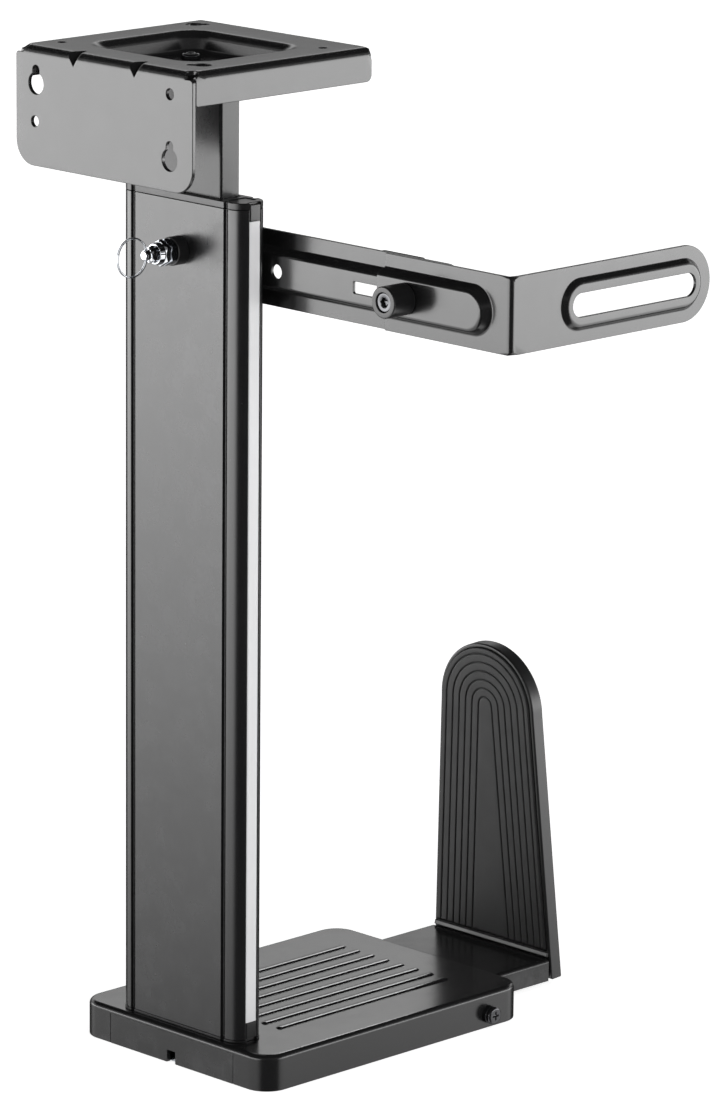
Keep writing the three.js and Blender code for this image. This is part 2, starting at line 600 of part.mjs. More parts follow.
function cornerBracket() {
  const innerX = CORNER_X1 - ARM_T;
  return pressChannel(cornerSheet(), CORNER_FLANGE_Y, CORNER_X0, CORNER_CHANNEL_X1, 1.5)
    .subtract(yPrism(circle(KNOB_X, ARM_Z, 3.4, 14), 0, 25))
    .add(rimBody([CORNER_X1 - 1, 14.9], [CORNER_X1 + RIM_RISE, 11.6]))
    .subtract(rimBody([innerX - 0.01, 13.3], [innerX + RIM_RISE, 10.4]))
    .subtract(xPrism(stadium(62.4, 162.2, ARM_Z, 13.4), CORNER_X1 - 5, CORNER_X1 + 6));
}

// square-necked bolt the knob pulls on
function armBolt() {
  const seat = HEAD_SEAT_Y, neck = 3.1;
  const head = turnedY([
    [0, seat], [7, seat], [6.2, seat + 1.6], [3.5, seat + 3], [0, seat + 3.2],
  ], KNOB_X, ARM_Z, 16);
  return head
    .add(box(KNOB_X - neck, KNOB_X + neck, seat - 2, seat + 0.2, ARM_Z - neck, ARM_Z + neck))
    .add(turnedY(rod(3, 1.3, seat + 0.2), KNOB_X, ARM_Z, 12));
}

const KNOB_Y1 = CORNER_FLANGE_Y - CHANNEL_DEPTH - 0.25, KNOB_Y0 = KNOB_Y1 - KNOB_L;

function armKnob() {
  const body = turnedY([
    [0, KNOB_Y0], [8.4, KNOB_Y0], [9, KNOB_Y0 + 0.7],
    [9, KNOB_Y1 - 0.7], [8.4, KNOB_Y1], [0, KNOB_Y1],
  ], KNOB_X, ARM_Z, 28);
  return body
    .subtract(turnedY(rod(5.7, KNOB_Y0 - 1, KNOB_Y0 + 6), KNOB_X, ARM_Z, 20))
    .subtract(turnedY(rod(3.2, 1, KNOB_Y1 + 1), KNOB_X, ARM_Z, 14));
}

function armKnobInsert() {
  const body = turnedY([
    [0, KNOB_Y0 + 0.9], [5, KNOB_Y0 + 0.9], [5.4, KNOB_Y0 + 1.3],
    [5.4, KNOB_Y0 + 5.8], [0, KNOB_Y0 + 5.8],
  ], KNOB_X, ARM_Z, 18);
  return body.subtract(yPrism(hexagon(KNOB_X, ARM_Z, 5.2), KNOB_Y0 - 1, KNOB_Y0 + 4.4));
}

function cornerFoam(sign) {
  const outline = rect(108, ARM_Z + sign * 15.2, 140, ARM_Z + sign * (ARM_HALF_H - 0.1), 1, 2);
  const innerX = CORNER_X1 - ARM_T;
  return xPrism(outline, innerX - 3.2, innerX - 0.05);
}

put('corner_bracket', cornerBracket(), POWDER);
put('arm_bolt', armBolt(), ZINC);
put('arm_knob', armKnob(), PLASTIC);
put('arm_knob_insert', armKnobInsert(), CHROME);
for (const [level, sign] of LEVELS) put(`foam_pad_corner_${level}`, cornerFoam(sign), FOAM);

// ---------------------------------------------------------------- base
const BASE_R = 15, BASE_BEVEL = 3, BASE_WALL = 2.6;
const COVER_X = 52.7;                                  // end-cover opening
const RIB_COUNT = 8, RIB_PITCH = 12.5, RIB_W = 5.2, RIB_H = 1, RIB_SINK = 0.2;
const RIB_Y0 = 27, RIB_Y1 = 169.5;
const POST_PLACES = SIGNS.flatMap((sign) => [2, 182].map((y) => [sign * 68, y]));

const baseOutline = (inset, radius) => rect(
  -BASE_X + inset, BASE_Y0 + inset, BASE_X - inset, BASE_Y1 - inset, radius, 5);

function rib(cx) {
  const crown = arc(0, 0, 1, 0, Math.PI, 4).map((p) => point(
    cx + RIB_W / 2 * p.x, BASE_H - RIB_SINK + (RIB_H + RIB_SINK) * p.y));
  const foot = [point(cx - RIB_W / 2, BASE_H - 1), point(cx + RIB_W / 2, BASE_H - 1)];
  return yPrism([...crown, ...foot], RIB_Y0, RIB_Y1);
}

function baseHousing() {
  const bevel = { radius: BASE_BEVEL, steps: 3 };
  let body = zPrism(baseOutline(0, BASE_R), -BASE_BEVEL - 1, BASE_H, [], bevel)
    .subtract(box(-100, 100, -50, 250, -10, 0))
    .subtract(zPrism(baseOutline(BASE_WALL, BASE_R - BASE_WALL), -1, ROOF_Z));
  for (let i = 0; i < RIB_COUNT; i++) {
    body = body.add(rib((i - (RIB_COUNT - 1) / 2) * RIB_PITCH));
  }
  // tray guides, screw posts and the lock-screw boss
  for (const sign of SIGNS) {
    body = body.add(box(sign * 51, sign * 53, 44, BASE_Y1 - 1, 3.8, ROOF_Z + 0.5));
  }
  for (const [x, y] of POST_PLACES) {
    body = body.add(turnedZ(rod(4.4, 2.6, ROOF_Z + 0.5), x, y, 12));
  }
  body = body.add(box(52, BASE_X - 1, LOCK_Y - 6.5, LOCK_Y + 6.5, 3.8, 14.5));
  body = body.subtract(xPrism(circle(LOCK_Y, LOCK_Z, 2.7, 12), 45, 90));
  for (const [x, y] of POST_PLACES) body = body.subtract(turnedZ(rod(1.6, 0, 15), x, y, 10));
  // mouth for the tray, end-cover opening, column screws
  const mouthX = TRAY_X + 0.6;
  body = body.subtract(box(-mouthX, mouthX, BASE_Y1 - 5, BASE_Y1 + 5, -1, 18.4));
  body = body.subtract(box(-COVER_X, COVER_X, BASE_Y0 - 1, BASE_Y0 + 3.4, -1, 18.6));
  for (const sign of SIGNS) {
    body = body.subtract(turnedZ(rod(SCREW_HOLE_R, 10, 30), sign * SCREW_X, 0, 10));
  }
  return body;
}

// cover with a notch in the middle of its lower edge
function baseEndCover() {
  const x = COVER_X - 0.2, z0 = 0.1, z1 = 18.4;
  const notchX = 3.4, notchZ = 7.6;
  const outline = [
    point(-x, z0), point(-notchX, z0), point(-notchX, notchZ),
    point(notchX, notchZ), point(notchX, z0), point(x, z0), point(x, z1), point(-x, z1),
  ];
  return yPrism(outline, BASE_Y0, BASE_Y0 + 3);
}

function baseBottomPlate() {
  const inset = BASE_WALL + 1;
  const bore = [[0, -1], [3.9, -1], [3.9, 1.9], [1.7, 1.9], [1.7, 6], [0, 6]];
  return POST_PLACES.reduce((body, [x, y]) => body.subtract(turnedZ(bore, x, y, 10)),
    zPrism(baseOutline(inset, BASE_R - inset), 0, 2.4));
}

function bottomScrew(x, y) {
  const body = turnedZ([
    [0, 0.2], [3.4, 0.2], [3.6, 0.5], [3.6, 1.8], [1.45, 1.8], [1.45, 14.5], [0, 14.5],
  ], x, y, 12);
  return body.subtract(box(x - 2.4, x + 2.4, y - 0.4, y + 0.4, -1, 0.9));
}

const columnBasePlate = () =>
  zPrism(rect(-50, -12, 50, 11, 3, 3), ROOF_Z - 2.7, ROOF_Z - 0.1, columnScrewHoles());

function columnScrew(x) {
  const seat = ROOF_Z - 2.8;
  const body = turnedZ([
    [0, seat - 3.2], [3.9, seat - 3.2], [4.4, seat - 2.4], [4.4, seat],
    [2.15, seat], [2.15, 50], [0, 50],
  ], x, 0, 14);
  return body.subtract(zPrism(hexagon(x, 0, 4), seat - 5, seat - 1));
}

put('base_housing', baseHousing(), POWDER);
put('base_end_cover', baseEndCover(), POWDER);
put('base_bottom_plate', baseBottomPlate(), ZINC);
POST_PLACES.forEach(([x, y], i) => put(`bottom_screw_${i + 1}`, bottomScrew(x, y), ZINC));
put('column_base_plate', columnBasePlate(), ZINC);
for (const [side, sign] of SIDES) put(`column_screw_${side}`, columnScrew(sign * SCREW_X), ZINC);

// ---------------------------------------------------------------- tray
const TRAY_Z0 = 3.9, TRAY_T = 2, TRAY_R = 2.6, TRAY_Y0 = 62, TRAY_Y1 = 251.1;
const PLATE_Z = 4;                                     // foot of the end plate
const PLATE_SCREW_X = 30, PLATE_SCREW_RISE = 6.6;

function slideTray() {
  const inX = TRAY_X - TRAY_T, inZ = TRAY_Z1 - TRAY_T;
  const cx = TRAY_X - TRAY_R, cz = TRAY_Z1 - TRAY_R;
  const section = [
    point(TRAY_X, TRAY_Z0),
    ...arc(cx, cz, TRAY_R, 0, QUARTER, 4),
    ...arc(-cx, cz, TRAY_R, QUARTER, Math.PI, 4),
    point(-TRAY_X, TRAY_Z0), point(-inX, TRAY_Z0),
    point(-inX, inZ), point(inX, inZ), point(inX, TRAY_Z0),
  ];
  let body = yPrism(section, TRAY_Y0, TRAY_Y1).add(box(
    -TRAY_X + 1, TRAY_X - 1, TRAY_Y1 - TRAY_T, TRAY_Y1, TRAY_Z0 + 0.5, TRAY_Z1 - 1));
  for (const sign of SIGNS) {
    const hole = circle(sign * PLATE_SCREW_X, PLATE_Z + PLATE_SCREW_RISE, 2.1, 10);
    body = body.subtract(yPrism(hole, TRAY_Y1 - 5, TRAY_Y1 + 5));
  }
  return body;
}

const trayGlide = (sign) =>
  box(sign * 30, sign * 42, TRAY_Y0, 190, TRAY_Z1 + 0.3, ROOF_Z - 0.1);

put('slide_tray', slideTray(), POWDER);
for (const [side, sign] of SIDES) put(`tray_glide_${side}`, trayGlide(sign), PLASTIC);

// ---------------------------------------------------------------- end plate
// drawn upright from its own foot, then leaned towards the column
const PLATE_Y = 252.4, PLATE_LEAN_DEG = 3, PLATE_T = 10.8;
const PLATE_FOOT_X = 50.2, PLATE_ARCH_R = 38.8, PLATE_ARCH_RISE = 165;

const lean = (body) => body.rotate([PLATE_LEAN_DEG, 0, 0]).translate([0, PLATE_Y, PLATE_Z]);

// tapering sides under a round top, from height z0 up
function archOutline(inset, z0) {
  const footX = PLATE_FOOT_X + (PLATE_ARCH_R - PLATE_FOOT_X) * z0 / PLATE_ARCH_RISE - inset;
  return [
    point(-footX, z0), point(footX, z0),
    ...arc(0, PLATE_ARCH_RISE, PLATE_ARCH_R - inset, 0, Math.PI, 14),
  ];
}

function endPlateShell() {
  const ledge = [point(-48, 14.6), point(48, 14.6), point(47.8, 16.8), point(-47.8, 16.8)];
  let body = yPrism(archOutline(0, 0), 1.2, PLATE_T, [], { radius: 1.6, steps: 3 })
    .subtract(yPrism(archOutline(2.2, 18), 0, 4.4))
    .add(yPrism(ledge, 0.2, 3));
  for (const sign of SIGNS) {
    const hole = circle(sign * PLATE_SCREW_X, PLATE_SCREW_RISE, 2.2, 10);
    body = body.subtract(yPrism(hole, -5, 20));
  }
  return lean(body);
}

const endPlatePad = () =>
  lean(yPrism(archOutline(2.6, 18.4), 0, 4.2, [], { radius: 0.8, steps: 2 }));

function endPlateScrew(x) {
  const seat = PLATE_T + 0.15;
  const body = turnedY([
    [0, -4.5], [1.9, -4.5], [1.9, seat], [4.2, seat],
    [4.2, PLATE_T + 1.4], [3, PLATE_T + 2.3], [0, PLATE_T + 2.5],
  ], x, PLATE_SCREW_RISE, 12);
  const z0 = PLATE_SCREW_RISE - 0.4, z1 = PLATE_SCREW_RISE + 0.4;
  return lean(body.subtract(box(x - 2.6, x + 2.6, PLATE_T + 1.5, PLATE_T + 4, z0, z1)));
}

put('end_plate_shell', endPlateShell(), PLASTIC);
put('end_plate_pad', endPlatePad(), PAD);
for (const [side, sign] of SIDES) {
  put(`end_plate_screw_${side}`, endPlateScrew(sign * PLATE_SCREW_X), BLACK_STEEL);
}

// ---------------------------------------------------------------- tray lock screw
const LOCK_X = BASE_X + 0.2;                           // collar's seat on the base's side

function lockScrew() {
  const tip = TRAY_X + 0.4, head = LOCK_X + 3.2;
  const body = turnedX([
    [0, tip], [2.45, tip], [2.45, head], [5.3, head],
    [5.3, LOCK_X + 4.4], [4.3, LOCK_X + 5.6], [0, LOCK_X + 6.1],
  ], LOCK_Y, LOCK_Z, 18);
  const slot = (y, z) =>
    box(LOCK_X + 4.2, LOCK_X + 8, LOCK_Y - y, LOCK_Y + y, LOCK_Z - z, LOCK_Z + z);
  return body.subtract(slot(2.6, 0.5).add(slot(0.5, 2.6)));
}

const lockScrewCollar = () => turnedX([
  [2.8, LOCK_X], [5.5, LOCK_X], [5.5, LOCK_X + 3], [2.8, LOCK_X + 3], [2.8, LOCK_X],
], LOCK_Y, LOCK_Z, 18);

put('lock_screw', lockScrew(), CHROME);
put('lock_screw_collar', lockScrewCollar(), BLACK_STEEL);

export default model;
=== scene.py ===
"""A black stand: a column on a ribbed base, hung under a folded desk bracket.

The origin lies on the floor under the column and +Z is up. The base, its sliding tray and the
leaning end plate run out along +Y. The index plunger faces -Y. The side arm runs along +X
behind the column and its corner bracket turns towards +Y. Sizes are millimetres; meshes are
scaled to metres as they are made. Lights, nodes and the camera work in metres.
"""
import json
import math
import bpy
import bmesh
import numpy as np
from mathutils import Vector, Matrix, geometry, noise

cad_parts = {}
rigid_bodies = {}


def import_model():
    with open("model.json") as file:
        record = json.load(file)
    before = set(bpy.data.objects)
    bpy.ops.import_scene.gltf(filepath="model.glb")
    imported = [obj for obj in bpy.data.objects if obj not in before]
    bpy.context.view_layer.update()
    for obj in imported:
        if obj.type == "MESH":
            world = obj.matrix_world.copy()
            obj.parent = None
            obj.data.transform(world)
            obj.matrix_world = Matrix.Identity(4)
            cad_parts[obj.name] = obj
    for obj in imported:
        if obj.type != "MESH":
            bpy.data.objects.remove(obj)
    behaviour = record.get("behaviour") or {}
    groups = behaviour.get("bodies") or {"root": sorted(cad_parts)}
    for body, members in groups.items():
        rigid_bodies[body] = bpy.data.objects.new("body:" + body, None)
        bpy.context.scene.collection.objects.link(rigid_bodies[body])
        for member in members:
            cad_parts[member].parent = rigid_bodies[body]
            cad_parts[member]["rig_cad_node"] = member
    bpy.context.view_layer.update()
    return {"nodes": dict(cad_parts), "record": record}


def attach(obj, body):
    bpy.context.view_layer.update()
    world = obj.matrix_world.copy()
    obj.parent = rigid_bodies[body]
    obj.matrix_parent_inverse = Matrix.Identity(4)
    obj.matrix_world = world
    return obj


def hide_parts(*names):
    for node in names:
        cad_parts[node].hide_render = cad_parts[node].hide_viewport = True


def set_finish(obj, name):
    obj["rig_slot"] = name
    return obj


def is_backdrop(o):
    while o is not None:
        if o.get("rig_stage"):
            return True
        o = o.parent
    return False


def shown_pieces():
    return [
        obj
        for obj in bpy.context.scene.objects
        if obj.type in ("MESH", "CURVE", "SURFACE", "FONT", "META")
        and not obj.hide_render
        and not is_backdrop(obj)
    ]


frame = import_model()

MM = 0.001
PI = math.pi

# ------------------------------------------------------------------ shared dimensions
COLUMN = "column_and_base"              # the body most pieces ride on
BOLT_X, BOLT_Y = 22, 18                 # bracket bolts, from the column's axis
PLUNGER_Z = 483.0
COLUMN_HX, COLUMN_HY = 51.3, 11.5       # half sizes of the column section
RING_Y, RING_R = -36.5, 11.1            # eye in the plunger pin, radius of the pull ring
ARM_Z, ARM_T = 475.4, 2.0
ARM_HALF = 43.8 / 2                     # half the arm's height
ARM_SCREW_X = 41
ARM_BOLT_X = 159.5
BASE_X, BASE_Y0, BASE_Y1, BASE_H = 80.0, -16.6, 198.2, 21.9
BASE_CORNER = 15
FOOT_X, FOOT_YS = 68, (2, 182)          # screws under the base
LOCK_Y, LOCK_Z = 167.5, 8.5             # axis of the tray's lock screw
TRAY_X = 50.2                           # half width of the tray and the end plate's foot
END_SCREW_X = 30


# ------------------------------------------------------------------ plane figures
def rounded(points, radii, steps=6, closed=True):
    """Rounds the corners of a line; radii is one value or one per corner."""
    out = []
    count = len(points)
    for i, corner in enumerate(points):
        r = radii[i] if isinstance(radii, (list, tuple)) else radii
        if not r or (not closed and i in (0, count - 1)):
            out.append(tuple(corner))
            continue
        corner = np.array(corner, float)
        before = np.array(points[i - 1], float) - corner
        after = np.array(points[(i + 1) % count], float) - corner
        before /= np.linalg.norm(before)
        after /= np.linalg.norm(after)
        half = math.acos(max(-1, min(1, float(before @ after)))) / 2
        if half > PI / 2 - 1e-3:
            out.append(tuple(corner))
            continue
        reach = r / math.tan(half)
        middle = before + after
        centre = corner + middle / np.linalg.norm(middle) * (r / math.sin(half))
        first = corner + before * reach - centre
        last = corner + after * reach - centre
        start = math.atan2(first[1], first[0])
        sweep = (math.atan2(last[1], last[0]) - start + PI) % (2 * PI) - PI
        for k in range(steps + 1):
            q = start + sweep * k / steps
            out.append((centre[0] + r * math.cos(q), centre[1] + r * math.sin(q)))
    return out


def soft_line(points, radii, steps=4):
    return rounded(points, radii, steps, closed=False)


def rect(x0, y0, x1, y1, r=0, steps=6):
    return rounded([(x0, y0), (x1, y0), (x1, y1), (x0, y1)], r, steps)


def circle(cx, cy, r, n=40):
    return [(cx + r * math.cos(2 * PI * i / n), cy + r * math.sin(2 * PI * i / n))
            for i in range(n)]


def stadium(x0, x1, cy, height, n=16):
    r = height / 2
    turns = [PI * k / n for k in range(n + 1)]
    return ([(x1 - r + r * math.cos(-PI / 2 + q), cy + r * math.sin(-PI / 2 + q)) for q in turns]
            + [(x0 + r + r * math.cos(PI / 2 + q), cy + r * math.sin(PI / 2 + q)) for q in turns])


def keyhole(cx, cy, r, neck_up, neck_r, turn=0.0):
    """A round hole with a round-ended neck whose centre lies neck_up away."""
    gap = math.asin(neck_r / r)
    angles = [PI / 2 + gap + (2 * PI - 2 * gap) * k / 34 for k in range(35)]
    pts = [(r * math.cos(q), r * math.sin(q)) for q in angles]
    pts += [(neck_r * math.cos(PI * k / 12), neck_up + neck_r * math.sin(PI * k / 12))
            for k in range(13)]
    c, s = math.cos(turn), math.sin(turn)
    return [(cx + x * c - y * s, cy + x * s + y * c) for x, y in pts]


def area(loop):
    a = np.array(loop)
    b = np.roll(a, -1, 0)
    return float((a[:, 0] * b[:, 1] - b[:, 0] * a[:, 1]).sum() / 2)


def wound(outer, holes):
    """The outer loop anticlockwise and the holes clockwise, in one list."""
    return [list(loop) if sign * area(loop) > 0 else list(loop)[::-1]
            for sign, loop in [(1, outer)] + [(-1, hole) for hole in holes]]


def densify(loop, step, where=None):
    """Splits long edges; edges outside `where` are split at 8 mm or more."""
    out = []
    for i in range(len(loop)):
        p, q = np.array(loop[i], float), np.array(loop[(i + 1) % len(loop)], float)
        out.append(tuple(p))
        limit = step if where is None or where((p + q) / 2) else max(step, 8.0)
        k = int(math.ceil(np.linalg.norm(q - p) / limit - 1e-6))
        for j in range(1, k):
            out.append(tuple(p + (q - p) * j / k))
    return out


def offset(loop, r):
    """Moves a loop to its left by r."""
    pts = np.array(loop, float)
    edge = np.roll(pts, -1, 0) - pts
    edge /= np.maximum(np.linalg.norm(edge, axis=1), 1e-12)[:, None]
    normal = np.stack([-edge[:, 1], edge[:, 0]], 1)
    mitre = normal + np.roll(normal, 1, 0)
    length = np.linalg.norm(mitre, axis=1)
    mitre = mitre / np.maximum(length, 1e-9)[:, None]
    return pts + mitre * (r / np.clip(length / 2, 0.45, 1))[:, None]


def inside(pts, loops):
    pts = np.asarray(pts, float)
    odd = np.zeros(len(pts), bool)
    for loop in loops:
        loop = np.asarray(loop, float)
        for (x1, y1), (x2, y2) in zip(loop, np.roll(loop, -1, 0)):
            if y1 == y2:
                continue
            crosses = (pts[:, 1] < y1) != (pts[:, 1] < y2)
            odd ^= crosses & (pts[:, 0] < x1 + (pts[:, 1] - y1) / (y2 - y1) * (x2 - x1))
    return odd


def fill_points(loops, box, spacing, margin):
    """Grid points inside the loops, at least margin from any loop vertex."""
    x0, x1, y0, y1 = box
    xs = np.linspace(x0, x1, max(2, int(round((x1 - x0) / spacing)) + 1))
    ys = np.linspace(y0, y1, max(2, int(round((y1 - y0) / spacing)) + 1))
    grid = np.array([(x, y) for x in xs for y in ys])
    grid = grid[inside(grid, loops)]
    border = np.concatenate([np.asarray(loop, float) for loop in loops])
    keep = np.ones(len(grid), bool)
    for i in range(0, len(grid), 400):
        away = np.linalg.norm(grid[i:i + 400, None] - border[None], axis=2).min(1)
        keep[i:i + 400] = away > margin
    return [tuple(p) for p in grid[keep]]


def triangulate(loops, lines=(), pts=()):
    """Returns points, anticlockwise triangles and the point numbers of each loop."""
    verts, edges, loop_ids = [], [], []
    for loop in loops:
        k = len(verts)
        verts += [tuple(p) for p in loop]
        loop_ids.append(list(range(k, k + len(loop))))
        edges += [(k + i, k + (i + 1) % len(loop)) for i in range(len(loop))]
    for line, closed in lines:
        k = len(verts)
        verts += [tuple(p) for p in line]
        edges += [(k + i, k + i + 1) for i in range(len(line) - 1)]
        if closed:
            edges.append((k + len(line) - 1, k))
    verts += [tuple(p) for p in pts]
    out = geometry.delaunay_2d_cdt([Vector(v) for v in verts], edges, [], 0, 1e-5, True)
    P = np.array([tuple(v) for v in out[0]])
    merged = {}
    for i, origins in enumerate(out[3]):
        for k in origins:
            merged[k] = i
    tris = np.array([tuple(f) for f in out[2]])
    tris = tris[inside(P[tris].mean(1), loops)]
    a = P[tris]
    cross = ((a[:, 1, 0] - a[:, 0, 0]) * (a[:, 2, 1] - a[:, 0, 1])
             - (a[:, 1, 1] - a[:, 0, 1]) * (a[:, 2, 0] - a[:, 0, 0]))
    solid = np.abs(cross) > 1e-9
    tris, cross = tris[solid], cross[solid]
    tris[cross < 0] = tris[cross < 0][:, ::-1]
    return P, tris, [[merged[k] for k in ids] for ids in loop_ids]


# ------------------------------------------------------------------ mesh makers
def mesh_of(name, verts, faces):
    mesh = bpy.data.meshes.new(name)
    mesh.from_pydata([tuple(float(c) * MM for c in v) for v in verts], [],
                     [tuple(int(i) for i in f) for f in faces])
    return mesh


def add_object(name, data):
    o = bpy.data.objects.new(name, data)
    bpy.context.scene.collection.objects.link(o)
    return o


def weight_normals(o):
    o.modifiers.new("weighted", "WEIGHTED_NORMAL").keep_sharp = True


def shade(o, smooth):
    o.data.shade_smooth()
    o.data.set_sharp_from_angle(angle=math.radians(smooth))
    weight_normals(o)


def make(name, verts, faces, body, slot, smooth=40, stands_for=None):
    """Makes a piece; it stands for the CAD node it is named after unless told otherwise."""
    mesh = mesh_of(name, verts, faces)
    mesh.validate(verbose=False)
    bm = bmesh.new()
    bm.from_mesh(mesh)
    bmesh.ops.remove_doubles(bm, verts=bm.verts, dist=2e-7)
    bmesh.ops.dissolve_degenerate(bm, dist=1e-8, edges=bm.edges)
    loose = [v for v in bm.verts if not v.link_faces]
    bmesh.ops.delete(bm, geom=loose, context="VERTS")
    bmesh.ops.recalc_face_normals(bm, faces=bm.faces)
    bm.to_mesh(mesh)
    bm.free()
    o = add_object(name, mesh)
    shade(o, smooth)
    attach(o, body)
    if stands_for is None:
        stands_for = name.removesuffix("_visual")
    if stands_for:
        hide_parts(stands_for)
    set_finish(o, slot)
    return o


def sheet_mesh(outer, holes, place, thickness, radius=0.4, steps=3, lines=(), points=(),
               back=None):
    """A sheet with rounded edges. place maps plane figures to space and the outer side is
    d/du x d/dv; back = (axis, value) makes the other side flat there."""
    loops = wound(outer, holes)
    insets = [offset(loop, radius) for loop in loops]
    P, tris, ids = triangulate(insets, lines, points)

    def surface(Q):
        du, dv = np.array([0.02, 0]), np.array([0, 0.02])
        n = np.cross(place(Q + du) - place(Q - du), place(Q + dv) - place(Q - dv))
        return place(Q), n / np.maximum(np.linalg.norm(n, axis=1), 1e-12)[:, None]

    def flat_back(X):
        flat = X.copy()
        flat[:, back[0]] = back[1]
        return flat

    X, N = surface(P)
    verts = [*X, *(X - N * thickness if back is None else flat_back(X))]
    m = len(P)
    faces = [tuple(f) for f in tris] + [(f[2] + m, f[1] + m, f[0] + m) for f in tris]
    # edge section: (share of the inset regained, depth below the outer side)
    section = [(math.sin(PI / 2 * k / steps), radius * (1 - math.cos(PI / 2 * k / steps)))
               for k in range(1, steps + 1)]
    section += [(f, thickness - d) for f, d in reversed(section)]
    if thickness <= 2 * radius + 1e-6:
        section.pop(steps)
    for loop, inset, ring in zip(loops, insets, ids):
        loop = np.array(loop, float)
        stack = [list(ring)]
        for f, d in section:
            x, n = surface(inset + (loop - inset) * f)
            k = len(verts)
            if back is not None and d > thickness / 2:
                verts += list(flat_back(x) + n * (thickness - d))
            else:
                verts += list(x - n * d)
            stack.append(list(range(k, k + len(loop))))
        stack.append([i + m for i in ring])
        count = len(ring)
        for A, B in zip(stack, stack[1:]):
            for i in range(count):
                j = (i + 1) % count
                faces.append((A[i], B[i], B[j], A[j]))
    return verts, faces


def sheet(name, outer, holes, place, thickness, body, slot, smooth=40, stands_for=None,
          **shape):
    verts, faces = sheet_mesh(outer, holes, place, thickness, **shape)
    return make(name, verts, faces, body, slot, smooth, stands_for)


def plane_z(z):
    return lambda Q: np.stack([Q[:, 0], Q[:, 1], np.full(len(Q), z)], 1)


def plane_y(y):                                   # outer side faces -Y
    return lambda Q: np.stack([Q[:, 0], np.full(len(Q), y), Q[:, 1]], 1)


def plane_x(x):                                   # outer side faces +X
    return lambda Q: np.stack([np.full(len(Q), x), Q[:, 0], Q[:, 1]], 1)


# Two radial directions and the direction of the heights, for each turning axis
BASIS = {"+z": ((1, 0, 0), (0, 1, 0), (0, 0, 1)), "-z": ((1, 0, 0), (0, -1, 0), (0, 0, -1)),
         "+y": ((0, 0, 1), (1, 0, 0), (0, 1, 0)), "-y": ((1, 0, 0), (0, 0, 1), (0, -1, 0)),
         "+x": ((0, 1, 0), (0, 0, 1), (1, 0, 0))}


def turned_mesh(levels, axis, origin, n=64, post=None):
    """levels are (radius, height) from the low end outwards and round to the high end;
    either may be a function of the angle."""
    across, side, along = np.array(BASIS[axis], float)
    angles = 2 * PI * np.arange(n) / n
    verts, faces, last = [], [], None
    for radius, height in levels:
        if not callable(radius) and radius == 0:
            ring = [len(verts)]
            verts.append(np.array(origin) + along * height)
        else:
            radii = radius(angles) if callable(radius) else np.full(n, float(radius))
            heights = height(angles) if callable(height) else np.full(n, float(height))
            ring = list(range(len(verts), len(verts) + n))
            for a, r, z in zip(angles, radii, heights):
                verts.append(np.array(origin) + across * r * math.cos(a)
                             + side * r * math.sin(a) + along * z)
        if last is not None:
            if len(last) == 1 and len(ring) > 1:
                faces += [(last[0], ring[(i + 1) % n], ring[i]) for i in range(n)]
            elif len(ring) == 1 and len(last) > 1:
                faces += [(last[i], last[(i + 1) % n], ring[0]) for i in range(n)]
            elif len(ring) > 1:
                faces += [(last[i], last[(i + 1) % n], ring[(i + 1) % n], ring[i])
                          for i in range(n)]
        last = ring
    if post:
        verts = [post(np.array(v)) for v in verts]
    return verts, faces


def turned(name, levels, axis, origin, body, slot, n=64, smooth=32, post=None):
    verts, faces = turned_mesh(levels, axis, origin, n, post)
    return make(name, verts, faces, body, slot, smooth)


def drill(radius, low, high, axis, origin, n=32):
    """A plain cylinder to cut with."""
    return turned_mesh([(0, low), (radius, low), (radius, high), (0, high)], axis, origin, n)


def polygon(across, sides):
    """Radius of a regular polygon, from its width across flats."""
    step = PI / sides
    return lambda th: across / 2 / np.cos((th + step) % (2 * step) - step)


def cross(half_width, length):
    """Radius of a cross recess."""
    def radius(th):
        a = np.abs((th + PI / 4) % (PI / 2) - PI / 4)
        return np.minimum(length / np.cos(a), half_width / np.maximum(np.sin(a), 1e-6))
    return radius


def dome(radius, inset, low, rise, angles):
    """Levels of a quarter ellipse running inwards and up from (radius, low)."""
    return [(radius - inset * (1 - math.cos(q)), low + rise * math.sin(q)) for q in angles]


def join(name, meshes, body, slot, smooth=40, stands_for=None):
    verts, faces = [], []
    for part_verts, part_faces in meshes:
        k = len(verts)
        verts += list(part_verts)
        faces += [tuple(i + k for i in f) for f in part_faces]
    return make(name, verts, faces, body, slot, smooth, stands_for)


def close_shell(faces, shift):
    """Adds the inner skin, whose points are numbered shift higher, and the rims between."""
    edges = dict.fromkeys((a, b) for f in faces for a, b in zip(f, f[1:] + f[:1]))
    inner = [tuple(i + shift for i in reversed(f)) for f in faces]
    rim = [(b, a, a + shift, b + shift) for a, b in edges if (b, a) not in edges]
    return faces + inner + rim


def cut(o, tools, smooth=32):
    """Removes the tool meshes (verts, faces) from o."""
    o.modifiers.clear()
    for verts, faces in tools:
        mesh = mesh_of("tool", verts, faces)
        bm = bmesh.new()
        bm.from_mesh(mesh)
        bmesh.ops.recalc_face_normals(bm, faces=bm.faces)
        bm.to_mesh(mesh)
        bm.free()
        tool = add_object("tool", mesh)
        boolean = o.modifiers.new("cut", "BOOLEAN")
        boolean.operation = "DIFFERENCE"
        boolean.solver = "EXACT"
        boolean.object = tool
        bpy.context.view_layer.update()
        graph = bpy.context.evaluated_depsgraph_get()
        result = bpy.data.meshes.new_from_object(o.evaluated_get(graph))
        o.modifiers.remove(boolean)
        result.name = o.data.name + "_cut"
        o.data = result
        bpy.data.objects.remove(tool)
    shade(o, smooth)


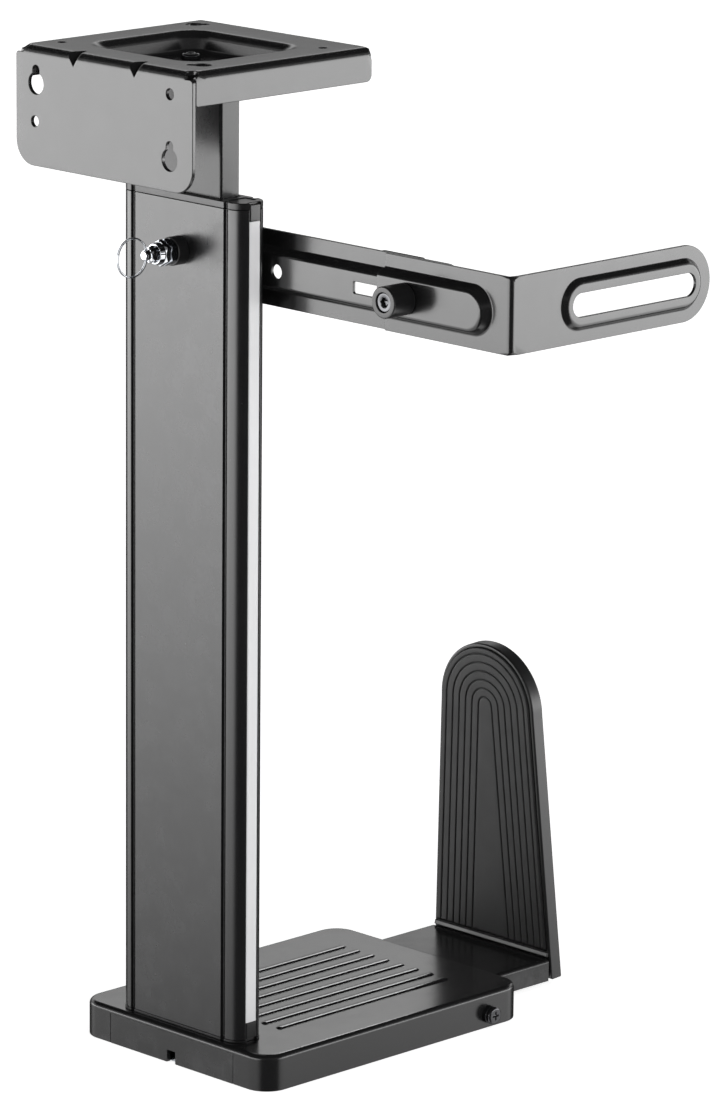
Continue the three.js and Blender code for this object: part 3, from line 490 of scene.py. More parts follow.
def pressed_step(height, r1, r2, degrees, n=6):
    """(distance, height) table of a step: flat, curve r1, sloping wall, curve r2, flat."""
    a = math.radians(degrees)
    span = height / math.tan(a) + (r1 + r2) * math.tan(a / 2)
    turns = [a * k / n for k in range(n + 1)]
    return ([(r1 * math.sin(q), r1 * (1 - math.cos(q))) for q in turns]
            + [(span - r2 * math.sin(q), height - r2 * (1 - math.cos(q)))
               for q in reversed(turns)])


def step_height(d, table):
    distances, heights = zip(*table)
    return np.interp(d, distances, heights)


def depth_in_rect(u, v, hx, hy, r):
    """Distance inside a rounded rectangle about the origin, positive inside."""
    qx, qy = np.abs(u) - (hx - r), np.abs(v) - (hy - r)
    outside = np.hypot(np.maximum(qx, 0), np.maximum(qy, 0))
    return r - (outside + np.minimum(np.maximum(qx, qy), 0))


# ------------------------------------------------------------------ desk bracket
BRACKET_X, BRACKET_Y, BRACKET_Z = 72.2, 69.6, 598.7     # half sizes and top face
BRACKET_R = 5.0                                         # outer bend radius
BRACKET_ARC = BRACKET_R * PI / 2
BEND_X, BEND_Y = BRACKET_X - BRACKET_R, BRACKET_Y - BRACKET_R    # where the bends start
SIDE_FLANGE_Z, DEEP_FLANGE_Z = 579.4, 530.5             # lower edges of the flanges
DISH_X, DISH_Y, DISH_R = 48.4, 45.4, 18.5
DISH = pressed_step(height=12.0, r1=6.0, r2=3.0, degrees=76, n=9)
DART_XS, DART_REACH = (-24.8, 25.5), 9                  # darts pressed across the -Y bend
DART_TOP = np.array([0, -58.6, BRACKET_Z])
DART_FOOT = np.array([0, -BRACKET_Y, 590.6])


def bracket_bend(run):
    """Outward travel and height at a distance past the start of a bend."""
    turn = np.minimum(run, BRACKET_ARC) / BRACKET_R
    return (BRACKET_R * np.sin(turn), BRACKET_Z - BRACKET_R + BRACKET_R * np.cos(turn)
            - np.maximum(run - BRACKET_ARC, 0))


def place_bracket(Q):
    """Folds the flat figure, then presses the dish and the darts."""
    u, v = Q[:, 0], Q[:, 1]
    P = np.stack([u, v, np.full(len(u), BRACKET_Z)], 1)
    on_side = (np.abs(u) > BEND_X) & (v > -69.0)
    out, z = bracket_bend(np.maximum(np.abs(u) - BEND_X, 0))
    P[on_side] = np.stack([np.sign(u) * (BEND_X + out), v, z], 1)[on_side]
    on_deep = (~on_side) & (v < -BEND_Y)
    out, z = bracket_bend(np.maximum(-BEND_Y - v, 0))
    P[on_deep] = np.stack([u, -(BEND_Y + out), z], 1)[on_deep]
    d = depth_in_rect(u, v, DISH_X, DISH_Y, DISH_R)
    P[:, 2] -= np.where(d > 0, step_height(d, DISH), 0)
    along = (DART_FOOT - DART_TOP) / np.linalg.norm(DART_FOOT - DART_TOP)
    normal = np.array([0, along[2], -along[1]])
    for x in DART_XS:
        k = (P - DART_TOP) @ normal - np.abs(u - x) * 1.2
        k = (0.5 * (k + np.sqrt(k * k + 0.5))
             - 0.5 * np.sqrt(0.5) * np.exp(-np.maximum(-k, 0)))
        near = (np.abs(u - x) < DART_REACH) & (v < -52) & (v > -80)
        P = P - np.where(near, np.maximum(k, 0), 0)[:, None] * normal
    return P


def flange_v(z):
    """Place in the flat figure of a height on the deep flange."""
    return -(BEND_Y + BRACKET_ARC + (BRACKET_Z - BRACKET_R - z))


def bracket_outline():
    side_edge = BEND_X + BRACKET_ARC + (BRACKET_Z - BRACKET_R - SIDE_FLANGE_Z)
    deep_edge = flange_v(DEEP_FLANGE_Z)
    shoulder = -(BEND_Y + BRACKET_ARC - 1.0)             # the deep flange widens here
    notch_x = 66.6
    half = soft_line([(0, deep_edge), (72.8, deep_edge), (72.8, shoulder),
                      (notch_x, shoulder), (notch_x, -69.6)], [0, 14, 2.2, 0.6, 0], 10)
    # corner relief, a round hole where the two bends meet
    beside, r = 2.0, 4.0
    cx, cy = notch_x + beside, -66.2
    start = math.atan2(-math.sqrt(r ** 2 - beside ** 2), -beside)
    end = math.atan2(-0.2, r)
    half[-1] = (notch_x, cy + r * math.sin(start))
    for k in range(1, 21):
        q = start - (2 * PI - (end - start)) * k / 20
        half.append((cx + r * math.cos(q), cy + r * math.sin(q)))
    half += soft_line([half[-1], (side_edge, -66.4), (side_edge, BRACKET_Y), (0, BRACKET_Y)],
                      [0, 1.2, 4.0, 0], 8)[1:]
    mirrored = [(-x, y) for x, y in half[1:-1]][::-1]

    def near_bend(p):
        return (abs(abs(p[0]) - BEND_X - BRACKET_ARC / 2) < BRACKET_ARC
                or abs(p[1] + BEND_Y + BRACKET_ARC / 2) < BRACKET_ARC)
    return densify(half + mirrored, 1.3, near_bend)


def make_bracket():
    outer = bracket_outline()
    holes = [densify(keyhole(-58, 54.5, 5.2, 6.2, 2.6, -PI / 4), 3),
             densify(keyhole(54.5, -45, 5.2, 6.2, 2.6, 3 * PI / 4), 3),
             circle(-58, -48, 2.6), circle(54.5, 48, 2.6),
             keyhole(-56, flange_v(577.7), 6.2, 7.6, 2.8),
             keyhole(54.3, flange_v(548.2), 6.2, 7.6, 2.8),
             circle(-57, flange_v(556), 3.1), circle(54.5, flange_v(585), 3.1)]
    holes += [circle(a * BOLT_X, b * BOLT_Y, 3.3, 32) for a in (1, -1) for b in (1, -1)]
    loops = wound(outer, holes)
    lines = [(densify(rect(-DISH_X + d, -DISH_Y + d, DISH_X - d, DISH_Y - d, DISH_R - d, 12),
                      3.0), True) for d, _ in DISH]
    pts = []
    for k in range(0, 9):                                # rows along the bends
        s = BRACKET_ARC * k / 8
        pts += [(sign * (BEND_X + s), y) for sign in (1, -1)
                for y in np.linspace(-60, 68.6, 64)]
        pts += [(x, -BEND_Y - s) for x in np.linspace(-65.6, 65.6, 66)
                if min(abs(x - dart) for dart in DART_XS) > DART_REACH]
    for dart in DART_XS:
        pts += [(dart + x, v) for x in np.arange(-8.8, 8.81, 0.55)
                for v in np.arange(-79.0, -53.5, 0.6)]
    flange_box = (-70, 70, flange_v(DEEP_FLANGE_Z) + 3, -BEND_Y - BRACKET_ARC - 6)
    pts += fill_points(loops, flange_box, spacing=9, margin=3)
    within = inside(pts, [offset(loop, 0.5) for loop in loops])
    border = np.concatenate([np.asarray(loop, float) for loop in loops])
    pts = [p for p, ok in zip(pts, within)
           if ok and np.min(np.linalg.norm(border - np.array(p), axis=1)) > 0.75]
    sheet("mount_bracket_skin", outer, holes, place_bracket, 2.5, "mast", "powder_coat",
          smooth=48, stands_for="mount_bracket", radius=0.45, lines=lines, points=pts)


def socket_screw(name, position, axis, body, head_r, length):
    """Low round head with a hexagon socket, and its shank; the head's seat is at height 0."""
    key, shank = 4.0, 3.0
    levels = [(0, -length), (shank - 0.5, -length), (shank, -length + 0.6), (shank, -0.35),
              (shank + 0.25, -0.02), (head_r - 0.25, 0), (head_r, 0.25), (head_r, 1.5)]
    levels += dome(head_r, 1.5, 1.5, 1.7, [PI / 2 * k / 5 for k in range(1, 6)])
    levels += [(key / math.sqrt(3) + 0.45, 3.22), (key / math.sqrt(3) + 0.12, 3.12),
               (polygon(key, 6), 2.85), (polygon(key, 6), 1.25),
               (polygon(key * 0.55, 6), 0.95), (0, 0.9)]
    turned(name, levels, axis, position, body, "black_steel", 72)


def make_mast():
    for i, (a, b) in enumerate(((1, 1), (1, -1), (-1, -1), (-1, 1)), 1):
        socket_screw(f"bracket_bolt_{i}_visual", (a * BOLT_X, b * BOLT_Y, 586.8), "+z", "mast",
                     head_r=5.6, length=8.2)
    sheet("tube_head_plate_visual", rect(-39, -28, 39, 28, 6, 10),
          [circle(a * BOLT_X, b * BOLT_Y, 3.1) for a in (1, -1) for b in (1, -1)],
          plane_z(584.1), 4.0, "mast", "black_steel", radius=0.5)
    hx, hy, wall = 30, 7.5, 1.5
    tube = sheet("inner_tube_visual", rect(-hx, -hy, hx, hy, 1.7, 8),
                 [rect(wall - hx, wall - hy, hx - wall, hy - wall, 0.7, 4)],
                 plane_z(580.0), 230.0, "mast", "powder_coat", radius=0.3)
    # index holes in the -Y wall
    cut(tube, [drill(3.2, -1, 6, "-y", (0, -4.5, PLUNGER_Z + dz)) for dz in range(-90, 31, 15)])


make_bracket()
make_mast()


# ------------------------------------------------------------------ column
def column_outline(lip_r=0.24, slot_r=0.35, slot_floor_r=0.15):
    """Flat section with round ends, a slot in each end and four grooves in the faces."""
    end_r = 11.0
    groove_x, groove_half, groove_depth, groove_r = 38.3, 1.75, 2.0, 0.7
    slot_depth, slot_half = 2.6, 4.4
    cx, cy = COLUMN_HX - end_r, COLUMN_HY - end_r
    lip = math.asin((slot_half - cy) / end_r)
    groove_in, groove_out = groove_x - groove_half, groove_x + groove_half
    floor_y, slot_x = -COLUMN_HY + groove_depth, COLUMN_HX - slot_depth

    def arc(centre_y, a0, a1):
        return [(cx + end_r * math.cos(a0 + (a1 - a0) * k / 14),
                 centre_y + end_r * math.sin(a0 + (a1 - a0) * k / 14)) for k in range(15)]

    groove = [(groove_in - 4, -COLUMN_HY), (groove_in, -COLUMN_HY), (groove_in, floor_y),
              (groove_out, floor_y), (groove_out, -COLUMN_HY), (cx, -COLUMN_HY)]
    groove_radii = [0, lip_r, groove_r, groove_r, lip_r, 0]
    half = soft_line(groove, groove_radii)[1:-1]
    half += arc(-cy, -PI / 2, -lip)
    edge = half.pop()
    last = half[-1]
    half += soft_line([last, edge, (slot_x, -slot_half), (slot_x, slot_half),
                       (edge[0], -edge[1]), (last[0], -last[1])],
                      [0, slot_r, slot_floor_r, slot_floor_r, slot_r, 0])[1:-1]
    half += arc(cy, lip, PI / 2)[1:]
    half += soft_line([(x, -y) for x, y in reversed(groove)], groove_radii)[1:-1]
    return half + [(-x, -y) for x, y in half]


def make_column():
    cavities = [rect(-32.5, -9.3, 32.5, 9.3, 0.8, 5)]
    for sign in (1, -1):
        x0, x1 = sorted((35.3 * sign, 46 * sign))
        cavities += [rect(x0, 3.5, x1, 8.3, 0.4, 3), rect(x0, -8.3, x1, -3.5, 0.4, 3),
                     circle(ARM_SCREW_X * sign, 0, 2.3, 24)]
    column = sheet("column_profile_visual", column_outline(), cavities, plane_z(511.5), 487.8,
                   COLUMN, "anodised", smooth=30, radius=0.18)
    cut(column, [drill(5.2, -1, 6, "-y", (0, -7.0, PLUNGER_Z), 40)]
        + [drill(3.4, -1, 8, "+y", (x, 5.0, ARM_Z)) for x in (-ARM_SCREW_X, ARM_SCREW_X)],
        smooth=30)


def make_column_ends():
    # shallow recesses in the top of the cap
    recess_x, hx, hy, r, depth, edge = 39.6, 5.2, 7.4, 1.6, 0.55, 0.5

    def place_cap(Q):
        u, v = Q[:, 0], Q[:, 1]
        d = depth_in_rect(np.abs(u) - recess_x, v, hx, hy, r)
        return np.stack([u, v, 515.7 - depth * np.clip(d / edge, 0, 1) ** 1.5], 1)

    lines = [([(x + sign * recess_x, y) for x, y in rect(-hx + d, -hy + d, hx - d, hy - d, r - d)],
              True) for sign in (1, -1) for d in (0.0, 0.25, edge)]
    plain = column_outline(0, 0, 0)
    sheet("column_cap_visual", plain, [rect(-30.6, -8.1, 30.6, 8.1, 1.2, 5)], place_cap, 4.0,
          COLUMN, "black_plastic", smooth=30, radius=0.55, lines=lines, back=(2, 511.7))
    sheet("column_foot_visual", offset(plain, -0.3),
          [circle(x, 0, 2.6, 24) for x in (ARM_SCREW_X, -ARM_SCREW_X)],
          plane_z(23.5), 1.5, COLUMN, "black_plastic", smooth=30, radius=0.3)


def make_strips():
    """Light strips in the column's end slots, with a plug above and below each."""
    def section(sign, x1, r):
        a, b = sorted((48.85 * sign, x1 * sign))
        radii = [0.15, r, r, 0.15] if sign > 0 else [r, 0.15, 0.15, r]
        return rounded([(a, -4.1), (b, -4.1), (b, 4.1), (a, 4.1)], radii)

    for side, sign in (("right", 1), ("left", -1)):
        sheet(f"strip_{side}_visual", section(sign, 50.25, 0.7), [], plane_z(504.8), 471.1,
              COLUMN, "light_strip", smooth=35, radius=0.08, steps=2)
        for where, z0, z1 in (("top", 505.0, 514.5), ("bottom", 24.0, 33.5)):
            sheet(f"plug_{where}_{side}_visual", section(sign, 50.55, 0.8), [], plane_z(z1),
                  z1 - z0, COLUMN, "black_plastic", smooth=35,
                  stands_for=f"strip_plug_{where}_{side}")


make_column()
make_column_ends()
make_strips()


# ------------------------------------------------------------------ index plunger
def hex_nut(across, low, high, bore):
    """Levels of a nut with chamfered corners."""
    flat = across / 2
    outline = polygon(across, 6)

    def chamfer(th):
        return (outline(th) - flat * 0.985) * math.tan(math.radians(30))

    def capped(th):
        return np.minimum(outline(th), flat * 0.985)
    return [(bore, low), (flat * 0.93, low), (capped, low + 0.2),
            (outline, lambda th: low + 0.25 + chamfer(th)),
            (outline, lambda th: high - 0.25 - chamfer(th)),
            (capped, high - 0.2), (flat * 0.93, high)]


def make_plunger():
    """Levels are (radius, height), with heights running out from the column's -Y face."""
    face = (0, -COLUMN_HY, PLUNGER_Z)
    collar = soft_line([(5.2, 0.1), (8.3, 0.1), (8.3, 7.3), (5.2, 7.3), (5.2, 0.1)],
                       [0, 0.2, 0.7, 0.3, 0], 5)
    turned("plunger_collar_visual", collar, "-y", face, COLUMN, "black_plastic", 72)
    lock_nut = hex_nut(13.6, 7.5, 12.2, 5.15) + [(5.4, 12.2), (5.15, 12.0), (5.15, 7.5)]
    turned("plunger_lock_nut_visual", lock_nut, "-y", face, COLUMN, "zinc_steel", 96, smooth=24)
    barrel = [(3.1, -2.2), (5.0, -2.2), (5.0, 12.3), (5.2, 12.4)]
    barrel += hex_nut(13.6, 12.4, 15.9, 5.2)[1:]
    barrel += soft_line([(6.5, 15.9), (6.5, 16.6), (5.8, 19.4), (5.1, 19.4)],
                        [0, 0.3, 0.3, 0], 5)
    barrel += [(5.1, 14.8), (2.7, 14.8), (2.7, 12.8), (4.1, 12.8), (4.1, -0.5), (3.1, -0.5),
               (3.1, -2.2)]
    turned("plunger_body_visual", barrel, "-y", face, COLUMN, "bright_steel", 96, smooth=24)
    tip = -3.7
    levels = soft_line([(0, tip), (2.2, tip), (2.9, tip + 1.5), (2.9, 5.2), (3.9, 5.2),
                        (3.9, 7.2), (2.4, 7.2), (2.4, 19.7)],
                       [0, 0.3, 0.3, 0.2, 0.2, 0.2, 0.2, 0])
    levels += hex_nut(8.4, 19.7, 23.9, 2.4)[1:]
    levels += soft_line([(3.9, 23.9), (3.0, 24.1), (3.05, 26.6), (2.3, 27.4), (0, 27.4)],
                        [0, 0.25, 0.5, 0.5, 0])
    pin = turned("plunger_pin_visual", levels, "-y", face, "plunger", "bright_steel", 96,
                 smooth=24)
    cut(pin, [drill(1.4, -6, 6, "+z", (0, RING_Y, PLUNGER_Z))], smooth=24)


def make_ring():
    """Split ring of two turns of round wire, standing in the plane of the plunger's axis."""
    cy, n, m, wire_r = RING_Y - RING_R, 168, 12, 0.48
    verts, faces = [], []
    for i in range(n + 1):
        t = i / n
        a = 4 * PI * t + 0.9
        q = min(max((t - 0.43) / 0.14, 0), 1)       # the wire crosses over half way
        x = -0.48 + 0.96 * q * q * (3 - 2 * q)
        outward = np.array([0, math.cos(a), math.sin(a)])
        centre = np.array([x, cy + RING_R * math.cos(a), PLUNGER_Z + RING_R * math.sin(a)])
        w = wire_r * (1 if 0.004 < t < 0.996 else 0.72)
        for k in range(m):
            q = 2 * PI * k / m
            verts.append(centre + outward * (w * math.cos(q) * 0.98)
                         + np.array([1, 0, 0]) * (w * math.sin(q)))
    for i in range(n):
        for k in range(m):
            j = (k + 1) % m
            faces.append((i * m + k, i * m + j, (i + 1) * m + j, (i + 1) * m + k))
    faces.append(tuple(range(m)))
    faces.append(tuple(range(n * m + m - 1, n * m - 1, -1)))
    make("pull_ring_visual", verts, faces, "ring", "bright_steel", smooth=50)


make_plunger()
make_ring()

# ------------------------------------------------------------------ side arm
CHANNEL = pressed_step(height=6.5, r1=1.4, r2=2.5, degrees=66)
CHANNEL_LIP = 0.45                      # the step starts this far outside the channel
ARM_X0 = -50
ARM_CHANNEL = dict(half=13.0, tip=181.0)
CORNER_CHANNEL = dict(half=14.5, tip=220.9)
CORNER_X0, CORNER_X1, CORNER_Y, CORNER_END = 137.5, 234.5, 16.0, 177.3
CORNER_R = 3.2
CORNER_BEND = CORNER_X1 - CORNER_R      # the bend starts here
CORNER_ARC = CORNER_R * PI / 2
LEG = CORNER_BEND + CORNER_ARC - (CORNER_Y + CORNER_R)   # flat coordinate minus y, on the leg
RIM = pressed_step(height=3.0, r1=1.1, r2=3.0, degrees=49, n=7)
RIM_Y, RIM_HALF, RIM_R = 112.5, 57.3, 15.2    # raised rim round the leg's slot


def channel_depth(u, v, half, tip):
    """Depth of the channel towards -Y; it has a round end at u = tip."""
    cx = tip - half
    away = np.where(u < cx, np.abs(v), np.hypot(u - cx, v))
    return step_height(half + CHANNEL_LIP - away, CHANNEL)


def channel_lines(x0, half, tip):
    lines = []
    cx = tip - half
    for d, _ in CHANNEL:
        h = half + CHANNEL_LIP - d
        line = [(x, -h) for x in np.linspace(x0, cx, 30)]
        line += [(cx + h * math.cos(q), h * math.sin(q))
                 for q in np.linspace(-PI / 2, PI / 2, 26)][1:-1]
        line += [(x, h) for x in np.linspace(cx, x0, 30)]
        lines.append((line, False))
    return lines


def make_arm():
    def place(Q):
        u, v = Q[:, 0], Q[:, 1]
        return np.stack([u, 18.2 - channel_depth(u, v, **ARM_CHANNEL), v + ARM_Z], 1)

    outer = rounded([(ARM_X0, -ARM_HALF), (192.5, -ARM_HALF), (192.5, ARM_HALF),
                     (ARM_X0, ARM_HALF)], [1.0, 9, 9, 1.0], 12)
    outer = densify(outer, 0.7, lambda p: p[0] < ARM_X0 + 0.5)
    holes = [circle(55.5, 0, 4.1), rect(117, -3.4, 169, 3.4, 0.9, 5),
             circle(-ARM_SCREW_X, 0, 3.4, 32), circle(ARM_SCREW_X, 0, 3.4, 32)]
    sheet("arm_bracket_visual", outer, holes, place, ARM_T, COLUMN, "powder_coat", smooth=48,
          radius=0.35, lines=channel_lines(ARM_X0 + 1.0, **ARM_CHANNEL))


def place_corner(Q):
    u, v = Q[:, 0], Q[:, 1]
    P = np.stack([u, CORNER_Y - channel_depth(u, v, **CORNER_CHANNEL), v + ARM_Z], 1)
    turn = np.clip(u - CORNER_BEND, 0, CORNER_ARC) / CORNER_R
    run = np.maximum(u - CORNER_BEND - CORNER_ARC, 0)
    y = CORNER_Y + CORNER_R - CORNER_R * np.cos(turn) + run
    x = CORNER_BEND + CORNER_R * np.sin(turn)
    away = np.hypot(np.maximum(np.abs(y - RIM_Y) - (RIM_HALF - RIM_R), 0), v)
    raised = np.where(run > 0, step_height(RIM_R - away, RIM), 0)
    past = u > CORNER_BEND
    P[past] = np.stack([x + raised, y, v + ARM_Z], 1)[past]
    return P


def make_corner():
    end = CORNER_END + LEG
    round_end = ARM_HALF - 0.02
    outer = rounded([(CORNER_X0, -ARM_HALF), (end, -ARM_HALF), (end, ARM_HALF),
                     (CORNER_X0, ARM_HALF)], [0.8, round_end, round_end, 0.8], 26)
    outer = densify(outer, 0.6, lambda p: p[0] < CORNER_X0 + 0.5 or
                    CORNER_BEND - 1 < p[0] < CORNER_BEND + CORNER_ARC + 1)
    slot = stadium(62.4 + LEG, 162.2 + LEG, 0, 13.4, 24)
    lines = channel_lines(CORNER_X0 + 0.9, **CORNER_CHANNEL)
    lines += [(densify(stadium(RIM_Y - RIM_HALF + d + LEG, RIM_Y + RIM_HALF - d + LEG, 0,
                               2 * RIM_R - 2 * d, 30), 4.0), True) for d, _ in RIM]
    bend_pts = [(CORNER_BEND + CORNER_ARC * k / 10, y) for k in range(11)
                for y in np.linspace(-ARM_HALF + 1.6, ARM_HALF - 1.6, 24)]
    sheet("corner_bracket_visual", outer, [slot, circle(ARM_BOLT_X, 0, 3.4, 36)], place_corner,
          ARM_T, "corner_arm", "powder_coat", smooth=48, radius=0.35, lines=lines,
          points=bend_pts)


def make_arm_fixings():
    for side, sign in (("left", -1), ("right", 1)):
        socket_screw(f"arm_screw_{side}_visual", (sign * ARM_SCREW_X, 13.85, ARM_Z), "+y",
                     COLUMN, head_r=5.4, length=9.0)
    square = polygon(6.2, 4)
    bolt = soft_line([(0, 1.3), (2.6, 1.3), (3.0, 1.8), (3.0, 11.9)], [0, 0.2, 0.2, 0], 3)
    bolt += [(square, 11.95), (square, 13.8)]
    bolt += soft_line([(3.4, 13.85), (7.0, 13.85), (6.6, 15.2), (4.4, 16.6), (0, 17.05)],
                      [0, 0.15, 0.8, 1.5, 0], 6)
    turned("arm_bolt_visual", bolt, "+y", (ARM_BOLT_X, 0, ARM_Z), "corner_arm", "zinc_steel",
           72, smooth=26)
    knob_at = (ARM_BOLT_X, -7.35, ARM_Z)
    knob = [(0, 6.0), (5.7, 6.0), (5.7, 0.35), (5.78, 0.12), (6.0, 0.0), (8.15, 0.0),
            (8.6, 0.12), (8.9, 0.42), (9.0, 0.9)]
    knob += [(9.0, z) for z in np.linspace(1.6, 14.9, 8)]
    knob += [(9.0, 15.7), (8.9, 16.2), (8.6, 16.5), (8.2, 16.6), (3.2, 16.6), (3.2, 8.4),
             (0, 8.4)]
    turned("arm_knob_visual", knob, "+y", knob_at, "knob", "black_plastic", 120, smooth=40)
    socket = polygon(5.2, 6)
    insert = [(0, 5.8), (5.4, 5.8), (5.4, 1.5), (5.3, 1.15), (5.0, 0.95), (3.5, 0.9),
              (3.15, 1.0), (socket, 1.3), (socket, 4.3), (polygon(2.6, 6), 4.9), (0, 4.95)]
    turned("arm_knob_insert_visual", insert, "+y", knob_at, "knob", "bright_steel", 96,
           smooth=26)


def foam(name, along, heights, axis, face, back, body):
    """Foam strip with soft edges, a crowned face and faint dimples. It faces along axis
    (0 is -X, 1 is +Y) at `face`, and its far side lies flat at `back`."""
    u0, u1 = along
    v0, v1 = sorted(heights)

    def place(Q):
        u, v = u0 + u1 - Q[:, 0], Q[:, 1]      # mirrored, which turns the outer side round
        edge = np.minimum(np.minimum(u - u0, u1 - u), np.minimum(v - v0, v1 - v))
        crown = -0.22 * np.exp(-np.maximum(edge, 0) / 1.4)
        pits = np.array([noise.noise(Vector((a * 0.9, b * 0.9, 3.1)))
                         for a, b in zip(u, v)]) * 0.05 - 0.05
        d = crown + pits
        return np.stack([u, face + d, v] if axis == 1 else [face - d, u, v], 1)

    loop = rect(u0, v0, u1, v1, 1.2)
    pts = fill_points([loop], (u0 + 1.1, u1 - 1.1, v0 + 1.1, v1 - 1.1), spacing=0.75,
                      margin=0.9)
    sheet(f"foam_{name}_visual", loop, [], place, 3.1, body, "foam", smooth=60,
          stands_for=f"foam_pad_{name}", radius=0.7, steps=4, points=pts, back=(axis, back))


make_arm()
make_corner()
make_arm_fixings()
for tag, sign in (("upper", 1), ("lower", -1)):
    foam(f"arm_{tag}", (130, 162), (ARM_Z + sign * 14.6, ARM_Z + sign * (ARM_HALF - 0.1)),
         axis=1, face=23.4, back=20.25, body=COLUMN)
    foam(f"corner_{tag}", (108, 140), (ARM_Z + sign * 15.2, ARM_Z + sign * (ARM_HALF - 0.7)),
         axis=0, face=229.3, back=232.45, body="corner_arm")

# ------------------------------------------------------------------ base
BASE_R, BASE_WALL, BASE_ROOF = 3.0, 2.6, 2.7     # top edge radius, wall and roof thickness
OPENING_TOP = 18.45
OPENINGS = ((BASE_Y0, 52.7), (BASE_Y1, 50.8))    # (end of the base, half width)
RIB_COUNT, RIB_PITCH = 8, 12.5
RIB_H, RIB_HALF, RIB_Y0, RIB_Y1 = 1.0, 2.73, 27.0, 169.5
# distances from the rib's middle that get a line of vertices
RIB_LINES = [0.0, 0.5, 1.0, 1.45, 1.6, 1.75, 2.0, 2.28, 2.42, 2.55, 2.65, 2.73, 2.88]


def base_corners():
    return rect(-BASE_X, BASE_Y0, BASE_X, BASE_Y1, BASE_CORNER, 14)


def base_outline():
    """Base outline with vertices along the sides and at the corners of both openings."""
    corners = base_corners()
    out = []
    for i in range(len(corners)):
        p, q = np.array(corners[i]), np.array(corners[(i + 1) % len(corners)])
        out.append(tuple(p))
        if np.linalg.norm(q - p) <= 20:
            continue
        stops = []
        if abs(p[1] - q[1]) < 1e-6:
            half = OPENINGS[0][1] if p[1] < 0 else OPENINGS[1][1]
            stops = sorted([(-half, p[1]), (half, p[1])], key=lambda s: abs(s[0] - p[0]))
        stops = [tuple(p)] + stops + [tuple(q)]
        for a, b in zip(stops, stops[1:]):
            a, b = np.array(a), np.array(b)
            k = max(1, int(np.linalg.norm(b - a) / 6))
            out += [tuple(a + (b - a) * j / k) for j in range(1, k + 1)]
        out.pop()
    return np.array(out)


def rib_lines():
    y0, y1 = RIB_Y0 + RIB_HALF, RIB_Y1 - RIB_HALF
    lines = []
    for i in range(RIB_COUNT):
        cx = (i - (RIB_COUNT - 1) / 2) * RIB_PITCH
        for r in RIB_LINES:
            if r == 0:
                lines.append(([(cx, y) for y in np.linspace(y0, y1, 24)], False))
                continue
            loop = [(cx + r * math.cos(q), y1 + r * math.sin(q))
                    for q in np.linspace(0, PI, 15)]
            loop += [(cx + r * math.cos(q), y0 + r * math.sin(q))
                     for q in np.linspace(PI, 2 * PI, 15)]
            lines.append((densify(loop, 6.0), True))
    return lines


def place_base_top(Q):
    """Ribs with a nearly flat crown, a round shoulder, a straight flank and a small fillet."""
    ds = np.linspace(0, RIB_HALF, 547)
    slope = np.interp(ds, [0, 1.45, 1.75, 2.28, RIB_HALF], [0, 0.16, 0.95, 0.95, 0])
    drop = np.concatenate([[0], np.cumsum((slope[1:] + slope[:-1]) / 2 * (ds[1] - ds[0]))])
    drop *= RIB_H / drop[-1]
    u, v = Q[:, 0], Q[:, 1]
    middle = (RIB_COUNT - 1) / 2
    cx = (np.clip(np.round(u / RIB_PITCH + middle), 0, RIB_COUNT - 1) - middle) * RIB_PITCH
    half_run = (RIB_Y1 - RIB_Y0) / 2 - RIB_HALF
    away = np.hypot(u - cx, np.maximum(np.abs(v - (RIB_Y0 + RIB_Y1) / 2) - half_run, 0))
    return np.stack([u, v, BASE_H + (RIB_H - np.interp(away, ds, drop))], 1)


def in_opening(p, q):
    return any(abs(p[1] - end) < 1e-6 and abs(q[1] - end) < 1e-6
               and max(abs(p[0]), abs(q[0])) <= half + 0.01 for end, half in OPENINGS)


def make_housing():
    outline = base_outline()
    n = len(outline)
    top_loop = offset(outline, BASE_R)
    P, tris, ids = triangulate([top_loop], rib_lines(),
                               fill_points([top_loop], (-74, 74, -10, 192), spacing=9,
                                           margin=5))
    verts = [tuple(x) for x in place_base_top(P)]
    faces = [tuple(t) for t in tris]
    roof_z = BASE_H - BASE_ROOF
    inner = [(x, y, roof_z) for x, y in P]
    # (inset, height) of the rows down the outer wall
    turns = [PI / 2 * k / 7 for k in range(1, 8)]
    rows = [(BASE_R * (1 - math.sin(q)), BASE_H - BASE_R + BASE_R * math.cos(q)) for q in turns]
    rows += [(0, z) for z in (OPENING_TOP, 14.0, 9.5, 5.0, 0.7)]
    rows += [(0.1, 0.32), (0.32, 0.1), (0.7, 0.0)]
    rings = [list(ids[0])]
    for inset, z in rows:
        k = len(verts)
        verts += [(x, y, z) for x, y in (offset(outline, inset) if inset > 0 else outline)]
        rings.append(list(range(k, k + n)))
        t = min(1, max(0, (BASE_H - z) / BASE_R))
        inner_z = z if z < roof_z else roof_z - 0.001 * t
        inner_loop = offset(outline, BASE_WALL + (BASE_R - BASE_WALL + 0.2) * (1 - t))
        inner += [(x, y, inner_z) for x, y in inner_loop]
    levels = [BASE_H] + [z for _, z in rows]
    for level, A, B in zip(levels, rings, rings[1:]):
        for i in range(n):
            j = (i + 1) % n
            if level <= OPENING_TOP + 0.01 and in_opening(outline[i], outline[j]):
                continue
            faces.append((A[i], B[i], B[j], A[j]))
    faces = close_shell(faces, len(verts))
    housing = make("base_housing_visual", verts + inner, faces, COLUMN, "powder_coat",
                   smooth=46)
    cut(housing, [drill(2.9, 70, 82, "+x", (0, LOCK_Y, LOCK_Z))], smooth=46)


